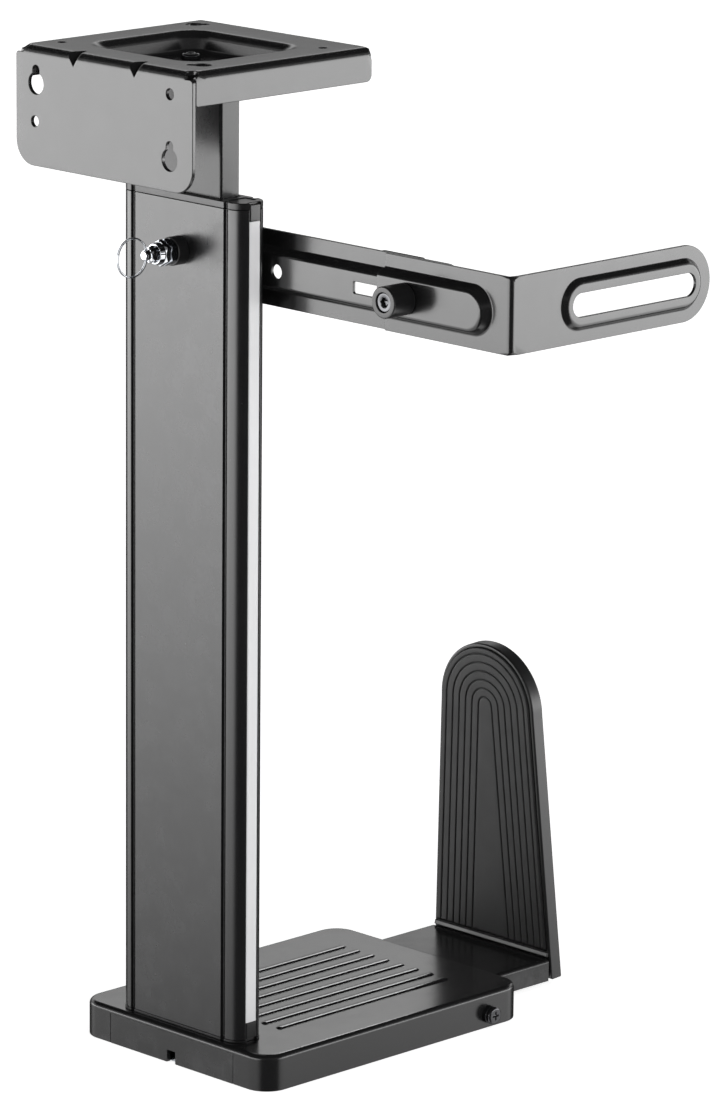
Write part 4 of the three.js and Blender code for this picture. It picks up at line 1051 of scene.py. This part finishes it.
def make_base_details():
    x, z1, notch, notch_z = 52.35, 18.38, 3.4, 7.6     # cover with a notch in its lower edge
    cover = rounded([(-x, 0.1), (-notch, 0.1), (-notch, notch_z), (notch, notch_z),
                     (notch, 0.1), (x, 0.1), (x, z1), (-x, z1)],
                    [0.5, 0.5, 0.3, 0.3, 0.5, 0.5, 0.3, 0.3], 4)
    sheet("base_end_cover_visual", densify(cover, 8.0), [], plane_y(-16.58), 3.0, COLUMN,
          "powder_coat", radius=0.22)

    # guide rails and screw posts between the top and the bottom plate
    parts = []
    post = [(1.6, 2.6), (4.1, 2.6), (4.4, 2.9), (4.4, 19.1), (1.6, 19.1), (1.6, 2.6)]
    # on the +X side the rail has a gap where the lock screw passes
    for sign, rails in ((1, ((44, LOCK_Y - 4), (LOCK_Y + 4, 196))), (-1, ((44, 196),))):
        a, b = sorted((sign * 51, sign * 53))
        for y0, y1 in rails:
            parts.append(sheet_mesh(rect(a, y0, b, y1, 0.4, 3), [], plane_z(19.1), 15.2, 0.3))
        for y in FOOT_YS:
            parts.append(turned_mesh(post, "+z", (sign * FOOT_X, y, 0), 32))
    parts.append(sheet_mesh(rect(LOCK_Y - 6, 3.8, LOCK_Y + 6, 14.5, 0.6, 3),
                            [circle(LOCK_Y, LOCK_Z, 2.7, 28)], plane_x(77.3), 25.0, 0.3))
    join("base_inner_structure", parts, COLUMN, "powder_coat", stands_for="")

    sheet("base_bottom_plate_visual", densify(offset(base_corners(), 3.6), 9),
          [circle(sign * FOOT_X, y, 3.9, 36) for sign in (1, -1) for y in FOOT_YS],
          lambda Q: np.stack([-Q[:, 0], Q[:, 1], np.zeros(len(Q))], 1), 2.4, COLUMN,
          "zinc_steel", radius=0.35)


make_housing()
make_base_details()


# ------------------------------------------------------------------ tray
def tray_section():
    """Channel open at the bottom, as (x, z)."""
    x, z0, z1, wall, r = TRAY_X, 3.9, 17.6, 2.0, 2.6
    inner_r = r - wall

    def corner(cx, cz, radius, start, end, n):
        return [(cx + radius * math.cos(q), cz + radius * math.sin(q))
                for q in np.linspace(start, end, n)]
    inner_z, inner_x = z1 - wall - inner_r, x - wall - inner_r
    return ([(x, z0)] + corner(x - r, z1 - r, r, 0, PI / 2, 10)
            + corner(-x + r, z1 - r, r, PI / 2, PI, 10) + [(-x, z0), (-x + wall, z0)]
            + corner(-inner_x, inner_z, inner_r, PI, PI / 2, 5)
            + corner(inner_x, inner_z, inner_r, PI / 2, 0, 5) + [(x - wall, z0)])


def make_tray():
    main = sheet_mesh(tray_section(), [], plane_y(62.0), 189.1, 0.3)
    end = sheet_mesh(rect(-48.1, 4.4, 48.1, 15.55, 0.4, 4),
                     [circle(x, 10.6, 2.1, 28) for x in (END_SCREW_X, -END_SCREW_X)],
                     plane_y(249.1), 1.95, 0.2)
    join("slide_tray_visual", [main, end], "tray", "powder_coat")


make_tray()

# ------------------------------------------------------------------ end plate
# Drawn upright as (x, y, v) with its -Y face at y = 0, then leaned towards the column
PLATE_Y, PLATE_Z, LEAN = 252.4, 4.0, math.radians(3)
ARCH_R, ARCH_V = 38.8, 165.0            # round top: radius and height of its centre
PAD_INSET, PAD_V0, PAD_EDGE = 2.6, 18.4, 0.9
GROOVES = [6.2, 11.6, 17.0, 22.4, 27.8, 33.3]    # distances in from the outline
GROOVE_PITCH = 5.4
GROOVE_HALF, GROOVE_DEPTH = 0.78, 0.62


def lean(p):
    c, s = math.cos(LEAN), math.sin(LEAN)
    return np.array([p[0], p[1] * c - p[2] * s + PLATE_Y, p[1] * s + p[2] * c + PLATE_Z])


def arch(inset, heights, arc_steps):
    """Open line up the -X side, round the top and down the +X side."""
    r = ARCH_R - inset
    left = [(-(TRAY_X + (ARCH_R - TRAY_X) * v / ARCH_V - inset), v) for v in heights]
    turns = [PI - PI * k / arc_steps for k in range(arc_steps + 1)]
    top = [(r * math.cos(q), ARCH_V + r * math.sin(q)) for q in turns]
    return left + top + [(-x, v) for x, v in left[::-1]]


def make_shell():
    # (inset, lowest height, y) of each ring, from the +Y face round to the recess
    turns = [PI / 2 * k / 6 for k in range(7)]
    stations = []
    for q in turns:
        inset = 1.7 * (1 - math.sin(q))
        stations.append((inset, inset, 10.8 - 1.7 * (1 - math.cos(q))))
    for q in turns:
        inset = 1.2 * (1 - math.cos(q))
        stations.append((inset, inset, 1.2 + 1.2 * (1 - math.sin(q))))
    stations += [(1.95, 17.0, 1.2), (2.15, 17.2, 1.32), (2.2, 17.3, 1.6), (2.2, 17.3, 4.3)]
    rings = [[(x, y, v) for x, v in
              arch(inset, [v0 + (ARCH_V - v0) * (k / 26) for k in range(26)], 52)]
             for inset, v0, y in stations]
    m = len(rings[0])
    verts = [lean(p) for ring in rings for p in ring]
    faces = []
    for a in range(len(rings) - 1):
        for i in range(m):
            j = (i + 1) % m
            faces.append((a * m + i, a * m + j, (a + 1) * m + j, (a + 1) * m + i))
    faces.append(tuple(reversed(range(m))))
    faces.append(tuple(range((len(rings) - 1) * m, len(rings) * m)))
    ledge_section = rounded([(-0.75, 14.3), (3.2, 14.3), (3.2, 17.1), (0.15, 17.1)],
                            [0.5, 0.1, 0.1, 0.7])
    ledge_verts, ledge_faces = sheet_mesh(ledge_section, [], plane_x(48.0), 96.0, 0.3)
    join("end_plate_shell_visual",
         [(verts, faces), ([lean(p) for p in ledge_verts], ledge_faces)],
         "tray", "black_plastic", smooth=38)


def pad_front(d, v):
    """y of the pad's face: rounded border, pressed grooves and slightly crowned bands."""
    edge = min(d - PAD_INSET, v - PAD_V0)
    y = 0.0
    if edge < PAD_EDGE:
        q = max(0.0, PAD_EDGE - edge)
        y = PAD_EDGE - math.sqrt(max(PAD_EDGE * PAD_EDGE - q * q, 0))
    for groove in GROOVES:
        x = abs(d - groove) / GROOVE_HALF
        if x < 1.35:
            fade = 1.0 if v > PAD_V0 + 1.2 else max(0, (v - PAD_V0) / 1.2)
            y += GROOVE_DEPTH * math.exp(-(x * 1.55) ** 2) * fade
    if GROOVES[0] < d < GROOVES[-1]:
        wave = math.cos(2 * PI * (d - GROOVES[0]) / GROOVE_PITCH + PI)
        y -= 0.16 * max(0.0, 0.5 + 0.5 * wave)
    return max(y, 0.0)


def make_pad():
    insets = [PAD_INSET + d for d in (0, 0.1, 0.25, 0.5, 0.9, 2.0)]
    for groove in GROOVES:
        insets += [groove + d for d in (-1.05, -0.75, -0.5, -0.25, 0, 0.25, 0.5, 0.75, 1.05)]
        if groove != GROOVES[-1]:
            insets.append(groove + GROOVE_PITCH / 2)
    insets = sorted(set(round(d, 3) for d in insets + [36.0, 38.0]))
    rows = [0, 0.12, 0.35, 0.9, 1.6]
    heights = [PAD_V0 + w for w in rows]
    heights += [PAD_V0 + rows[-1] + (ARCH_V - PAD_V0 - rows[-1]) * k / 26 for k in range(1, 26)]
    lines = [arch(d, heights, 60) for d in insets]
    m = len(lines[0])
    verts = [lean((x, pad_front(d, v), v)) for d, line in zip(insets, lines) for x, v in line]
    shift = len(verts)
    verts += [lean((x, 4.2, v)) for line in lines for x, v in line]
    faces = []
    for a in range(len(insets) - 1):
        for i in range(m - 1):
            faces.append((a * m + i, (a + 1) * m + i, (a + 1) * m + i + 1, a * m + i + 1))
    # the innermost line is closed across, ending in one triangle at the top
    last = (len(insets) - 1) * m
    top = m // 2 - 1
    for i in range(top):
        faces.append((last + i, last + m - 1 - i, last + m - 2 - i, last + i + 1))
    faces.append((last + top, last + m - 1 - top, last + top + 1))
    make("end_plate_pad_visual", verts, close_shell(faces, shift), "tray", "soft_pad",
         smooth=50)


def make_plate_screws():
    levels = [(0, -4.5), (1.5, -4.5), (1.9, -3.8), (1.9, 10.9), (2.2, 10.95), (4.0, 10.95),
              (4.2, 11.15), (4.2, 11.8)]
    levels += dome(4.2, 1.5, 11.8, 1.25, np.linspace(0.25, PI / 2, 6))
    levels += [(2.62, 13.08), (cross(0.45, 2.3), 13.0), (cross(0.3, 1.6), 11.7), (0, 11.6)]
    for side, sign in (("right", 1), ("left", -1)):
        turned(f"end_plate_screw_{side}_visual", levels, "+y", (sign * END_SCREW_X, 0, 6.6),
               "tray", "black_steel", 96, smooth=30, post=lean)


make_shell()
make_pad()
make_plate_screws()


# ------------------------------------------------------------------ lock screw, base screws
def make_lock_screw():
    origin = (BASE_X, LOCK_Y, LOCK_Z)
    collar = soft_line([(2.8, 0.2), (5.5, 0.2), (5.5, 3.2), (2.8, 3.2), (2.8, 0.2)],
                       [0, 0.2, 0.5, 0.2, 0], 5)
    turned("lock_screw_collar_visual", collar, "+x", origin, COLUMN, "black_steel")
    levels = [(0, -29.4), (1.9, -29.4), (2.45, -28.7), (2.45, 3.1), (2.7, 3.4), (5.1, 3.4),
              (5.3, 3.6), (5.3, 4.7)]
    levels += dome(5.3, 1.6, 4.7, 1.45, np.linspace(0.2, PI / 2, 7))
    levels += [(3.0, 6.2), (cross(0.62, 2.75), 6.15), (cross(0.36, 1.9), 4.6), (0, 4.4)]
    turned("lock_screw_visual", levels, "+x", origin, "tray_lock", "black_steel", 120,
           smooth=30)


def make_bottom_screws():
    levels = [(0, -14.5), (0.7, -14.0), (1.45, -12.6), (1.45, -1.9), (3.55, -1.8), (3.6, -1.7),
              (3.6, -0.7), (3.45, -0.38), (3.1, -0.2), (2.4, -0.2), (cross(0.5, 2.2), -0.3),
              (cross(0.3, 1.5), -1.2), (0, -1.3)]
    spots = [(sign * FOOT_X, y, 0) for sign in (1, -1) for y in FOOT_YS]
    for k, spot in enumerate(spots, 1):
        turned(f"bottom_screw_{k}_visual", levels, "-z", spot, COLUMN, "zinc_steel")


make_lock_screw()
make_bottom_screws()

# ------------------------------------------------------------------ CAD pieces that stay
EDGE_WIDTH = {"plunger_spring": 0.05}
for node, o in frame["nodes"].items():
    if o.hide_render:
        continue
    bevel = o.modifiers.new("edge", "BEVEL")
    bevel.width = EDGE_WIDTH.get(node, 0.25) * MM
    bevel.segments = 3
    bevel.limit_method = "ANGLE"
    bevel.angle_limit = math.radians(40)
    weight_normals(o)
    o.data.shade_smooth()


# ------------------------------------------------------------------ shader nodes
class Nodes:
    """Short ways to add nodes to a tree; values may be numbers or sockets."""

    def __init__(self, owner, clear=True):
        owner.use_nodes = True
        self.tree = owner.node_tree
        self.coords = None
        if clear:
            self.tree.nodes.clear()

    def add(self, kind):
        return self.tree.nodes.new("ShaderNode" + kind)

    def feed(self, socket, value):
        if isinstance(value, bpy.types.NodeSocket):
            self.tree.links.new(value, socket)
        else:
            socket.default_value = value

    def math(self, operation, *values):
        node = self.add("Math")
        node.operation = operation
        for socket, value in zip(node.inputs, values):
            self.feed(socket, value)
        return node.outputs[0]

    def vector(self, operation, *values, output="Vector"):
        node = self.add("VectorMath")
        node.operation = operation
        for socket, value in zip(node.inputs, values):
            self.feed(socket, value)
        return node.outputs[output]

    def remap(self, value, source, target=(0.0, 1.0), smooth=False):
        """Maps the source range to the target range, clamped."""
        node = self.add("MapRange")
        if smooth:
            node.interpolation_type = "SMOOTHSTEP"
        node.inputs["From Min"].default_value, node.inputs["From Max"].default_value = source
        node.inputs["To Min"].default_value, node.inputs["To Max"].default_value = target
        self.feed(node.inputs["Value"], value)
        return node.outputs[0]

    def noise(self, scale, detail, roughness=0.55, stretch=None):
        node = self.add("TexNoise")
        node.inputs["Scale"].default_value = scale
        node.inputs["Detail"].default_value = detail
        node.inputs["Roughness"].default_value = roughness
        self.feed(node.inputs["Vector"], self.object_coords(stretch))
        return node.outputs["Fac"]

    def object_coords(self, stretch=None):
        if self.coords is None:
            self.coords = self.add("TexCoord").outputs["Object"]
        if not stretch:
            return self.coords
        mapping = self.add("Mapping")
        mapping.inputs["Scale"].default_value = stretch
        self.feed(mapping.inputs["Vector"], self.coords)
        return mapping.outputs[0]

    def blend(self, factor, first, second):
        """Mixes two colours, each a tuple or a socket."""
        node = self.add("Mix")
        node.data_type = "RGBA"
        self.feed(node.inputs[0], factor)
        for index, color in ((6, first), (7, second)):
            self.feed(node.inputs[index], (*color, 1) if isinstance(color, tuple) else color)
        return node.outputs[2]


# ------------------------------------------------------------------ finishes
def finish(name, color, rough, metallic=0.0, ior=1.5, vary=0.12, micro=1500.0, bump=0.12,
           bump_dist=0.00002, rough_var=0.06, cloud=9.0, wear=(0.16, 0.16, 0.165),
           wear_amt=0.25, brushed=None, cells=None, speck=0.0):
    """A finish with cloudy colour, worn edges, scratches and a fine bump. vary is the colour
    variation, cloud and micro are noise scales, wear is the colour of worn edges, brushed is
    a noise stretch, cells a cell scale and speck the strength of pale specks."""
    material = bpy.data.materials.new(name)
    nodes = Nodes(material)
    output, shader = nodes.add("OutputMaterial"), nodes.add("BsdfPrincipled")
    nodes.feed(output.inputs[0], shader.outputs[0])

    def scaled(factor, extra=0):
        return tuple(c * factor + extra for c in color)

    big = nodes.noise(scale=cloud, detail=4.0)
    mid = nodes.noise(scale=cloud * 9, detail=3.0)
    fine = nodes.noise(scale=micro, detail=2.0)
    tone = nodes.blend(nodes.remap(big, source=(0.3, 0.7)), scaled(1 - vary), scaled(1 + vary))
    tone = nodes.blend(nodes.remap(mid, source=(0.35, 0.65), target=(0.0, 0.35)), tone,
                       scaled(1 - vary * 0.6))
    if speck:
        tone = nodes.blend(nodes.remap(fine, source=(0.6, 0.75), target=(0.0, speck)), tone,
                           scaled(2.2, extra=0.01))
    pointiness = nodes.add("NewGeometry").outputs["Pointiness"]
    patches = nodes.remap(nodes.noise(scale=60, detail=4.0), source=(0.42, 0.66))
    worn = nodes.math("MULTIPLY", nodes.remap(pointiness, source=(0.535, 0.60)), patches)
    worn = nodes.math("MULTIPLY", worn, wear_amt)
    nodes.feed(shader.inputs["Base Color"], nodes.blend(worn, tone, wear))

    scratches = nodes.noise(scale=30, detail=2.0, roughness=0.5, stretch=(14, 1.2, 14))
    scratch_mask, scratch_amt, scratch_rough = (0.73, 0.78), 0.15, 0.25
    scratches = nodes.math("MULTIPLY", nodes.remap(scratches, source=scratch_mask), scratch_amt)
    swing = rough_var / 2
    level = nodes.math("ADD",
                       nodes.remap(mid, source=(0.3, 0.7), target=(rough - swing, rough + swing)),
                       nodes.remap(big, source=(0.3, 0.7), target=(-swing, swing)))
    level = nodes.math("ADD", level, nodes.math("MULTIPLY", scratches, scratch_rough))
    nodes.feed(shader.inputs["Roughness"], level)
    shader.inputs["Metallic"].default_value = metallic
    shader.inputs["IOR"].default_value = ior

    def relief(coarse, coarse_share, fine_share):
        return nodes.math("ADD", nodes.math("MULTIPLY", coarse, coarse_share),
                          nodes.math("MULTIPLY", fine, fine_share))

    height = fine
    if cells:
        voronoi = nodes.add("TexVoronoi")
        voronoi.inputs["Scale"].default_value = cells
        nodes.feed(voronoi.inputs["Vector"], nodes.object_coords())
        height = relief(voronoi.outputs["Distance"], coarse_share=1.4, fine_share=0.5)
    if brushed:
        grain = nodes.noise(scale=200, detail=2.0, roughness=0.5, stretch=brushed)
        height = relief(grain, coarse_share=0.9, fine_share=0.35)
    bumps = nodes.add("Bump")
    bumps.inputs["Strength"].default_value = bump
    bumps.inputs["Distance"].default_value = bump_dist
    nodes.feed(bumps.inputs["Height"], height)
    nodes.feed(shader.inputs["Normal"], bumps.outputs[0])
    return material


FINISHES = {
    "powder_coat": finish(
        "powder_coat_black", color=(0.010, 0.010, 0.0103), rough=0.21, ior=1.55, micro=1300,
        bump=0.22, bump_dist=0.00004, vary=0.16, rough_var=0.04, speck=0.25),
    "anodised": finish(
        "anodised_black", color=(0.010, 0.010, 0.0105), rough=0.24, ior=1.55, micro=2600,
        bump=0.22, bump_dist=0.00003, rough_var=0.04, brushed=(1, 1, 0.04),
        wear=(0.3, 0.3, 0.31), speck=0.12),
    "black_plastic": finish(
        "black_plastic_grain", color=(0.009, 0.009, 0.0093), rough=0.32, ior=1.47, micro=1700,
        bump=0.32, bump_dist=0.00006, vary=0.15),
    "light_strip": finish(
        "light_strip_grey", color=(0.80, 0.80, 0.81), rough=0.40, ior=1.46, micro=900,
        bump=0.08, vary=0.03, wear=(0.6, 0.6, 0.6), wear_amt=0.1, cloud=22),
    "soft_pad": finish(
        "soft_pad_rubber", color=(0.013, 0.013, 0.0133), rough=0.55, ior=1.45, micro=1100,
        bump=0.45, bump_dist=0.00008, vary=0.18, wear=(0.08, 0.08, 0.08)),
    "foam": finish(
        "foam_black", color=(0.008, 0.008, 0.008), rough=0.95, ior=1.15, micro=1600, bump=0.9,
        bump_dist=0.0003, vary=0.3, cells=900, wear=(0.03, 0.03, 0.03)),
    "bright_steel": finish(
        "bright_steel_plated", color=(0.52, 0.535, 0.56), rough=0.08, metallic=1.0, micro=900,
        bump=0.05, vary=0.05, rough_var=0.05, wear=(0.5, 0.5, 0.5), wear_amt=0.1, cloud=60),
    "zinc_steel": finish(
        "zinc_plated_steel", color=(0.40, 0.42, 0.46), rough=0.13, metallic=1.0, micro=700,
        bump=0.10, rough_var=0.10, wear=(0.7, 0.7, 0.7), wear_amt=0.2, cloud=50),
    "black_steel": finish(
        "black_oxide_steel", color=(0.075, 0.076, 0.080), rough=0.14, metallic=0.88, ior=1.6,
        micro=1200, bump=0.15, vary=0.2, wear=(0.3, 0.3, 0.3)),
    # Darker copy of the powder coat, with lower colour and weaker reflection: painted shade for
    # the tube and the tray
    "shade_dimmed_coat": finish(
        "powder_coat_shade_dimmed", color=(0.009, 0.009, 0.0093), rough=0.23, ior=1.42, micro=1300,
        bump=0.22, bump_dist=0.00004, vary=0.16, rough_var=0.04, speck=0.2),
}
SHADE_DIMMED_PIECES = ("inner_tube", "slide_tray")    # tube and tray, less glossy than the pressed plates and given a darker copy of the powder coat with weaker reflection, painted shade
CAD_SLOTS = {r["node"]: r["material_slot"] for r in frame["record"].get("subparts", [])}
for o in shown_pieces():
    slot = o.get("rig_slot") or CAD_SLOTS.get(o.get("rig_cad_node", ""), "powder_coat")
    if slot == "powder_coat" and o.name.startswith(SHADE_DIMMED_PIECES):
        slot = "shade_dimmed_coat"
    if o.name.startswith("arm_knob_insert"):        # duller than the plunger
        slot = "black_steel"
    o.data.materials.clear()
    o.data.materials.append(FINISHES[slot])


# ------------------------------------------------------------------ floor
def floor_plane(name, z, size=40):
    bm = bmesh.new()
    bmesh.ops.create_grid(bm, x_segments=2, y_segments=2, size=size)
    mesh = bpy.data.meshes.new(name)
    bm.to_mesh(mesh)
    bm.free()
    o = bpy.data.objects.new(name, mesh)
    o.location = (0, 0, z)
    bpy.context.scene.collection.objects.link(o)
    o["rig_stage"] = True
    return o


def make_floor():
    """Pale floor that glows a little for the camera only."""
    floor = floor_plane("floor", z=-0.0002)
    material = bpy.data.materials.new("floor_pale")
    nodes = Nodes(material, clear=False)
    shader = nodes.tree.nodes["Principled BSDF"]
    mottle = nodes.noise(scale=3.0, detail=2.0, roughness=0.5)
    nodes.feed(shader.inputs["Base Color"],
               nodes.remap(mottle, source=(0.0, 1.0), target=(0.90, 0.93)))
    shader.inputs["Roughness"].default_value = 0.9
    shader.inputs["Specular IOR Level"].default_value = 0.0
    camera_glow = 0.80
    seen = nodes.add("LightPath").outputs["Is Camera Ray"]
    nodes.feed(shader.inputs["Emission Strength"], nodes.math("MULTIPLY", seen, camera_glow))
    shader.inputs["Emission Color"].default_value = (1, 1, 1, 1)
    floor.data.materials.append(material)
    material.cycles.emission_sampling = "NONE"
    floor.visible_glossy = False


# Level directions to the middles of the two softboxes
LEFT_BOX, RIGHT_BOX = (-0.549, -0.836, 0), (0.71, 0.704, 0)


def softboxes(nodes, direction):
    """Brightness round the horizon: a wide softbox on the left, a narrow one on the right."""
    left = nodes.vector("DOT_PRODUCT", direction, LEFT_BOX, output="Value")
    right = nodes.vector("DOT_PRODUCT", direction, RIGHT_BOX, output="Value")
    return nodes.math("ADD", nodes.remap(left, source=(0.50, 0.86), smooth=True),
                      nodes.remap(right, source=(0.76, 0.96), smooth=True))


def make_floor_glow():
    """Floor as reflections see it, brighter away from the stand."""
    near, rate, limit, dark = 0.76, 2.1, 6.5, 0.05   # at the origin, per metre, most, unlit
    card = floor_plane("floor_glow", z=-0.0006)
    card.visible_camera = False
    card.visible_diffuse = False
    card.visible_shadow = False
    card.visible_transmission = False
    material = bpy.data.materials.new("floor_glow")
    nodes = Nodes(material)
    surface = nodes.add("NewGeometry").outputs
    incoming = nodes.vector("MULTIPLY", surface["Incoming"], (1, 1, 0))
    incoming = nodes.vector("NORMALIZE", incoming)
    away = nodes.vector("MULTIPLY", incoming, (-1, -1, 0))
    level_place = nodes.vector("MULTIPLY", surface["Position"], (1, 1, 0))
    distance = nodes.vector("LENGTH", level_place, output="Value")
    glow = nodes.math("MINIMUM", nodes.math("MULTIPLY_ADD", distance, rate, near), limit)
    glow = nodes.math("MULTIPLY", glow, softboxes(nodes, away))
    glow = nodes.math("ADD", glow, dark)
    emission = nodes.add("Emission")
    nodes.feed(emission.inputs["Strength"], glow)
    nodes.feed(nodes.add("OutputMaterial").inputs[0], emission.outputs[0])
    card.data.materials.append(material)
    material.cycles.emission_sampling = "NONE"


# ------------------------------------------------------------------ world
def make_world():
    """Reflections see softboxes and a rear panel; the camera sees plain pale light."""
    rear_direction = (-0.70, 0.71, 0)
    world = bpy.data.worlds.new("studio")
    bpy.context.scene.world = world
    nodes = Nodes(world)
    direction = nodes.add("TexCoord").outputs["Generated"]
    split = nodes.add("SeparateXYZ")
    nodes.feed(split.inputs[0], direction)
    height = split.outputs["Z"]
    level = nodes.vector("NORMALIZE", nodes.vector("MULTIPLY", direction, (1, 1, 0)))
    rearward = nodes.vector("DOT_PRODUCT", level, rear_direction, output="Value")
    side = nodes.math("MULTIPLY", softboxes(nodes, level),
                      nodes.remap(height, source=(0.08, 0.27), target=(7.4, 0.0), smooth=True))
    rear = nodes.math("MULTIPLY",
                      nodes.remap(height, source=(0.10, 0.40), target=(0.20, 1.85), smooth=True),
                      nodes.remap(height, source=(0.38, 0.54), target=(1.0, 0.015), smooth=True))
    rear = nodes.math("MULTIPLY", nodes.remap(rearward, source=(-0.2, 0.6), target=(0.2, 1.0),
                                              smooth=True), rear)

    def background(strength):
        node = nodes.add("Background")
        nodes.feed(node.inputs["Strength"], strength)
        return node.outputs[0]

    def choose(ray, otherwise, when):
        node = nodes.add("MixShader")
        for socket, value in zip(node.inputs, (ray, otherwise, when)):
            nodes.feed(socket, value)
        return node.outputs[0]

    rays = nodes.add("LightPath").outputs
    shown = choose(rays["Is Glossy Ray"], otherwise=background(strength=0.06),
                   when=background(strength=nodes.math("ADD", side, rear)))
    shown = choose(rays["Is Camera Ray"], otherwise=shown, when=background(strength=1.0))
    nodes.feed(nodes.add("OutputWorld").inputs[0], shown)
    world.cycles.sampling_method = "NONE"


# ------------------------------------------------------------------ lights and camera
def sun(name, towards, strength, degrees, only=None):
    """A sun towards a direction; one kept to a collection shows only in its reflections."""
    light = bpy.data.lights.new(name, "SUN")
    light.energy = strength
    light.angle = math.radians(degrees)
    o = add_object(name, light)
    o.rotation_mode = "QUATERNION"
    o.rotation_quaternion = (-Vector(towards)).to_track_quat("-Z", "Y")
    o.visible_glossy = only is not None
    if only is not None:
        o.visible_diffuse = False
        o.light_linking.receiver_collection = only


def collect(name, wanted):
    group = bpy.data.collections.new(name)
    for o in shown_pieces():
        if wanted(o):
            group.objects.link(o)
    return group


def make_lights():
    sun("overhead", towards=(0.1, -0.15, 1), strength=0.7, degrees=100)
    sun("right", towards=(0.90, -0.20, 0.15), strength=2.5, degrees=50)
    sun("left", towards=(-0.5, -0.85, 0.12), strength=0.2, degrees=40)
    metals = (FINISHES["bright_steel"], FINISHES["zinc_steel"])
    plated = collect("plated_pieces",
                     lambda o: o.data.materials and o.data.materials[0] in metals)
    sun("plated_box", towards=(-0.80, -0.20, 0.62), strength=3.4, degrees=84, only=plated)
    ribbed = collect("ribbed_pieces", lambda o: o.name.startswith("base_housing"))
    sun("rib_edge_light", towards=(-0.548, 0.675, 0.488), strength=0.17, degrees=10,
        only=ribbed)


def make_camera():
    data = bpy.data.cameras.new("cam")
    data.sensor_width = 36.0
    data.lens = 194.2989928
    data.clip_start, data.clip_end = 0.05, 200
    camera = add_object("cam", data)
    yaw, pitch, roll = map(math.radians, (45.14, -13.63, 0.54))
    forward = Vector((-math.sin(yaw) * math.cos(pitch), math.cos(yaw) * math.cos(pitch),
                      math.sin(pitch)))
    right = Vector((math.cos(yaw), math.sin(yaw), 0))
    up = right.cross(forward)
    rolled_right = right * math.cos(roll) + up * math.sin(roll)
    rolled_up = -right * math.sin(roll) + up * math.cos(roll)
    pose = Matrix((rolled_right, rolled_up, -forward)).transposed().to_4x4()
    pose.translation = Vector((2.44544, -2.29644, 1.1167))
    camera.matrix_world = pose
    bpy.context.scene.camera = camera


make_floor()
make_floor_glow()
make_world()
make_lights()
make_camera()
view = bpy.context.scene.view_settings
view.view_transform = "Standard"
view.look = "None"
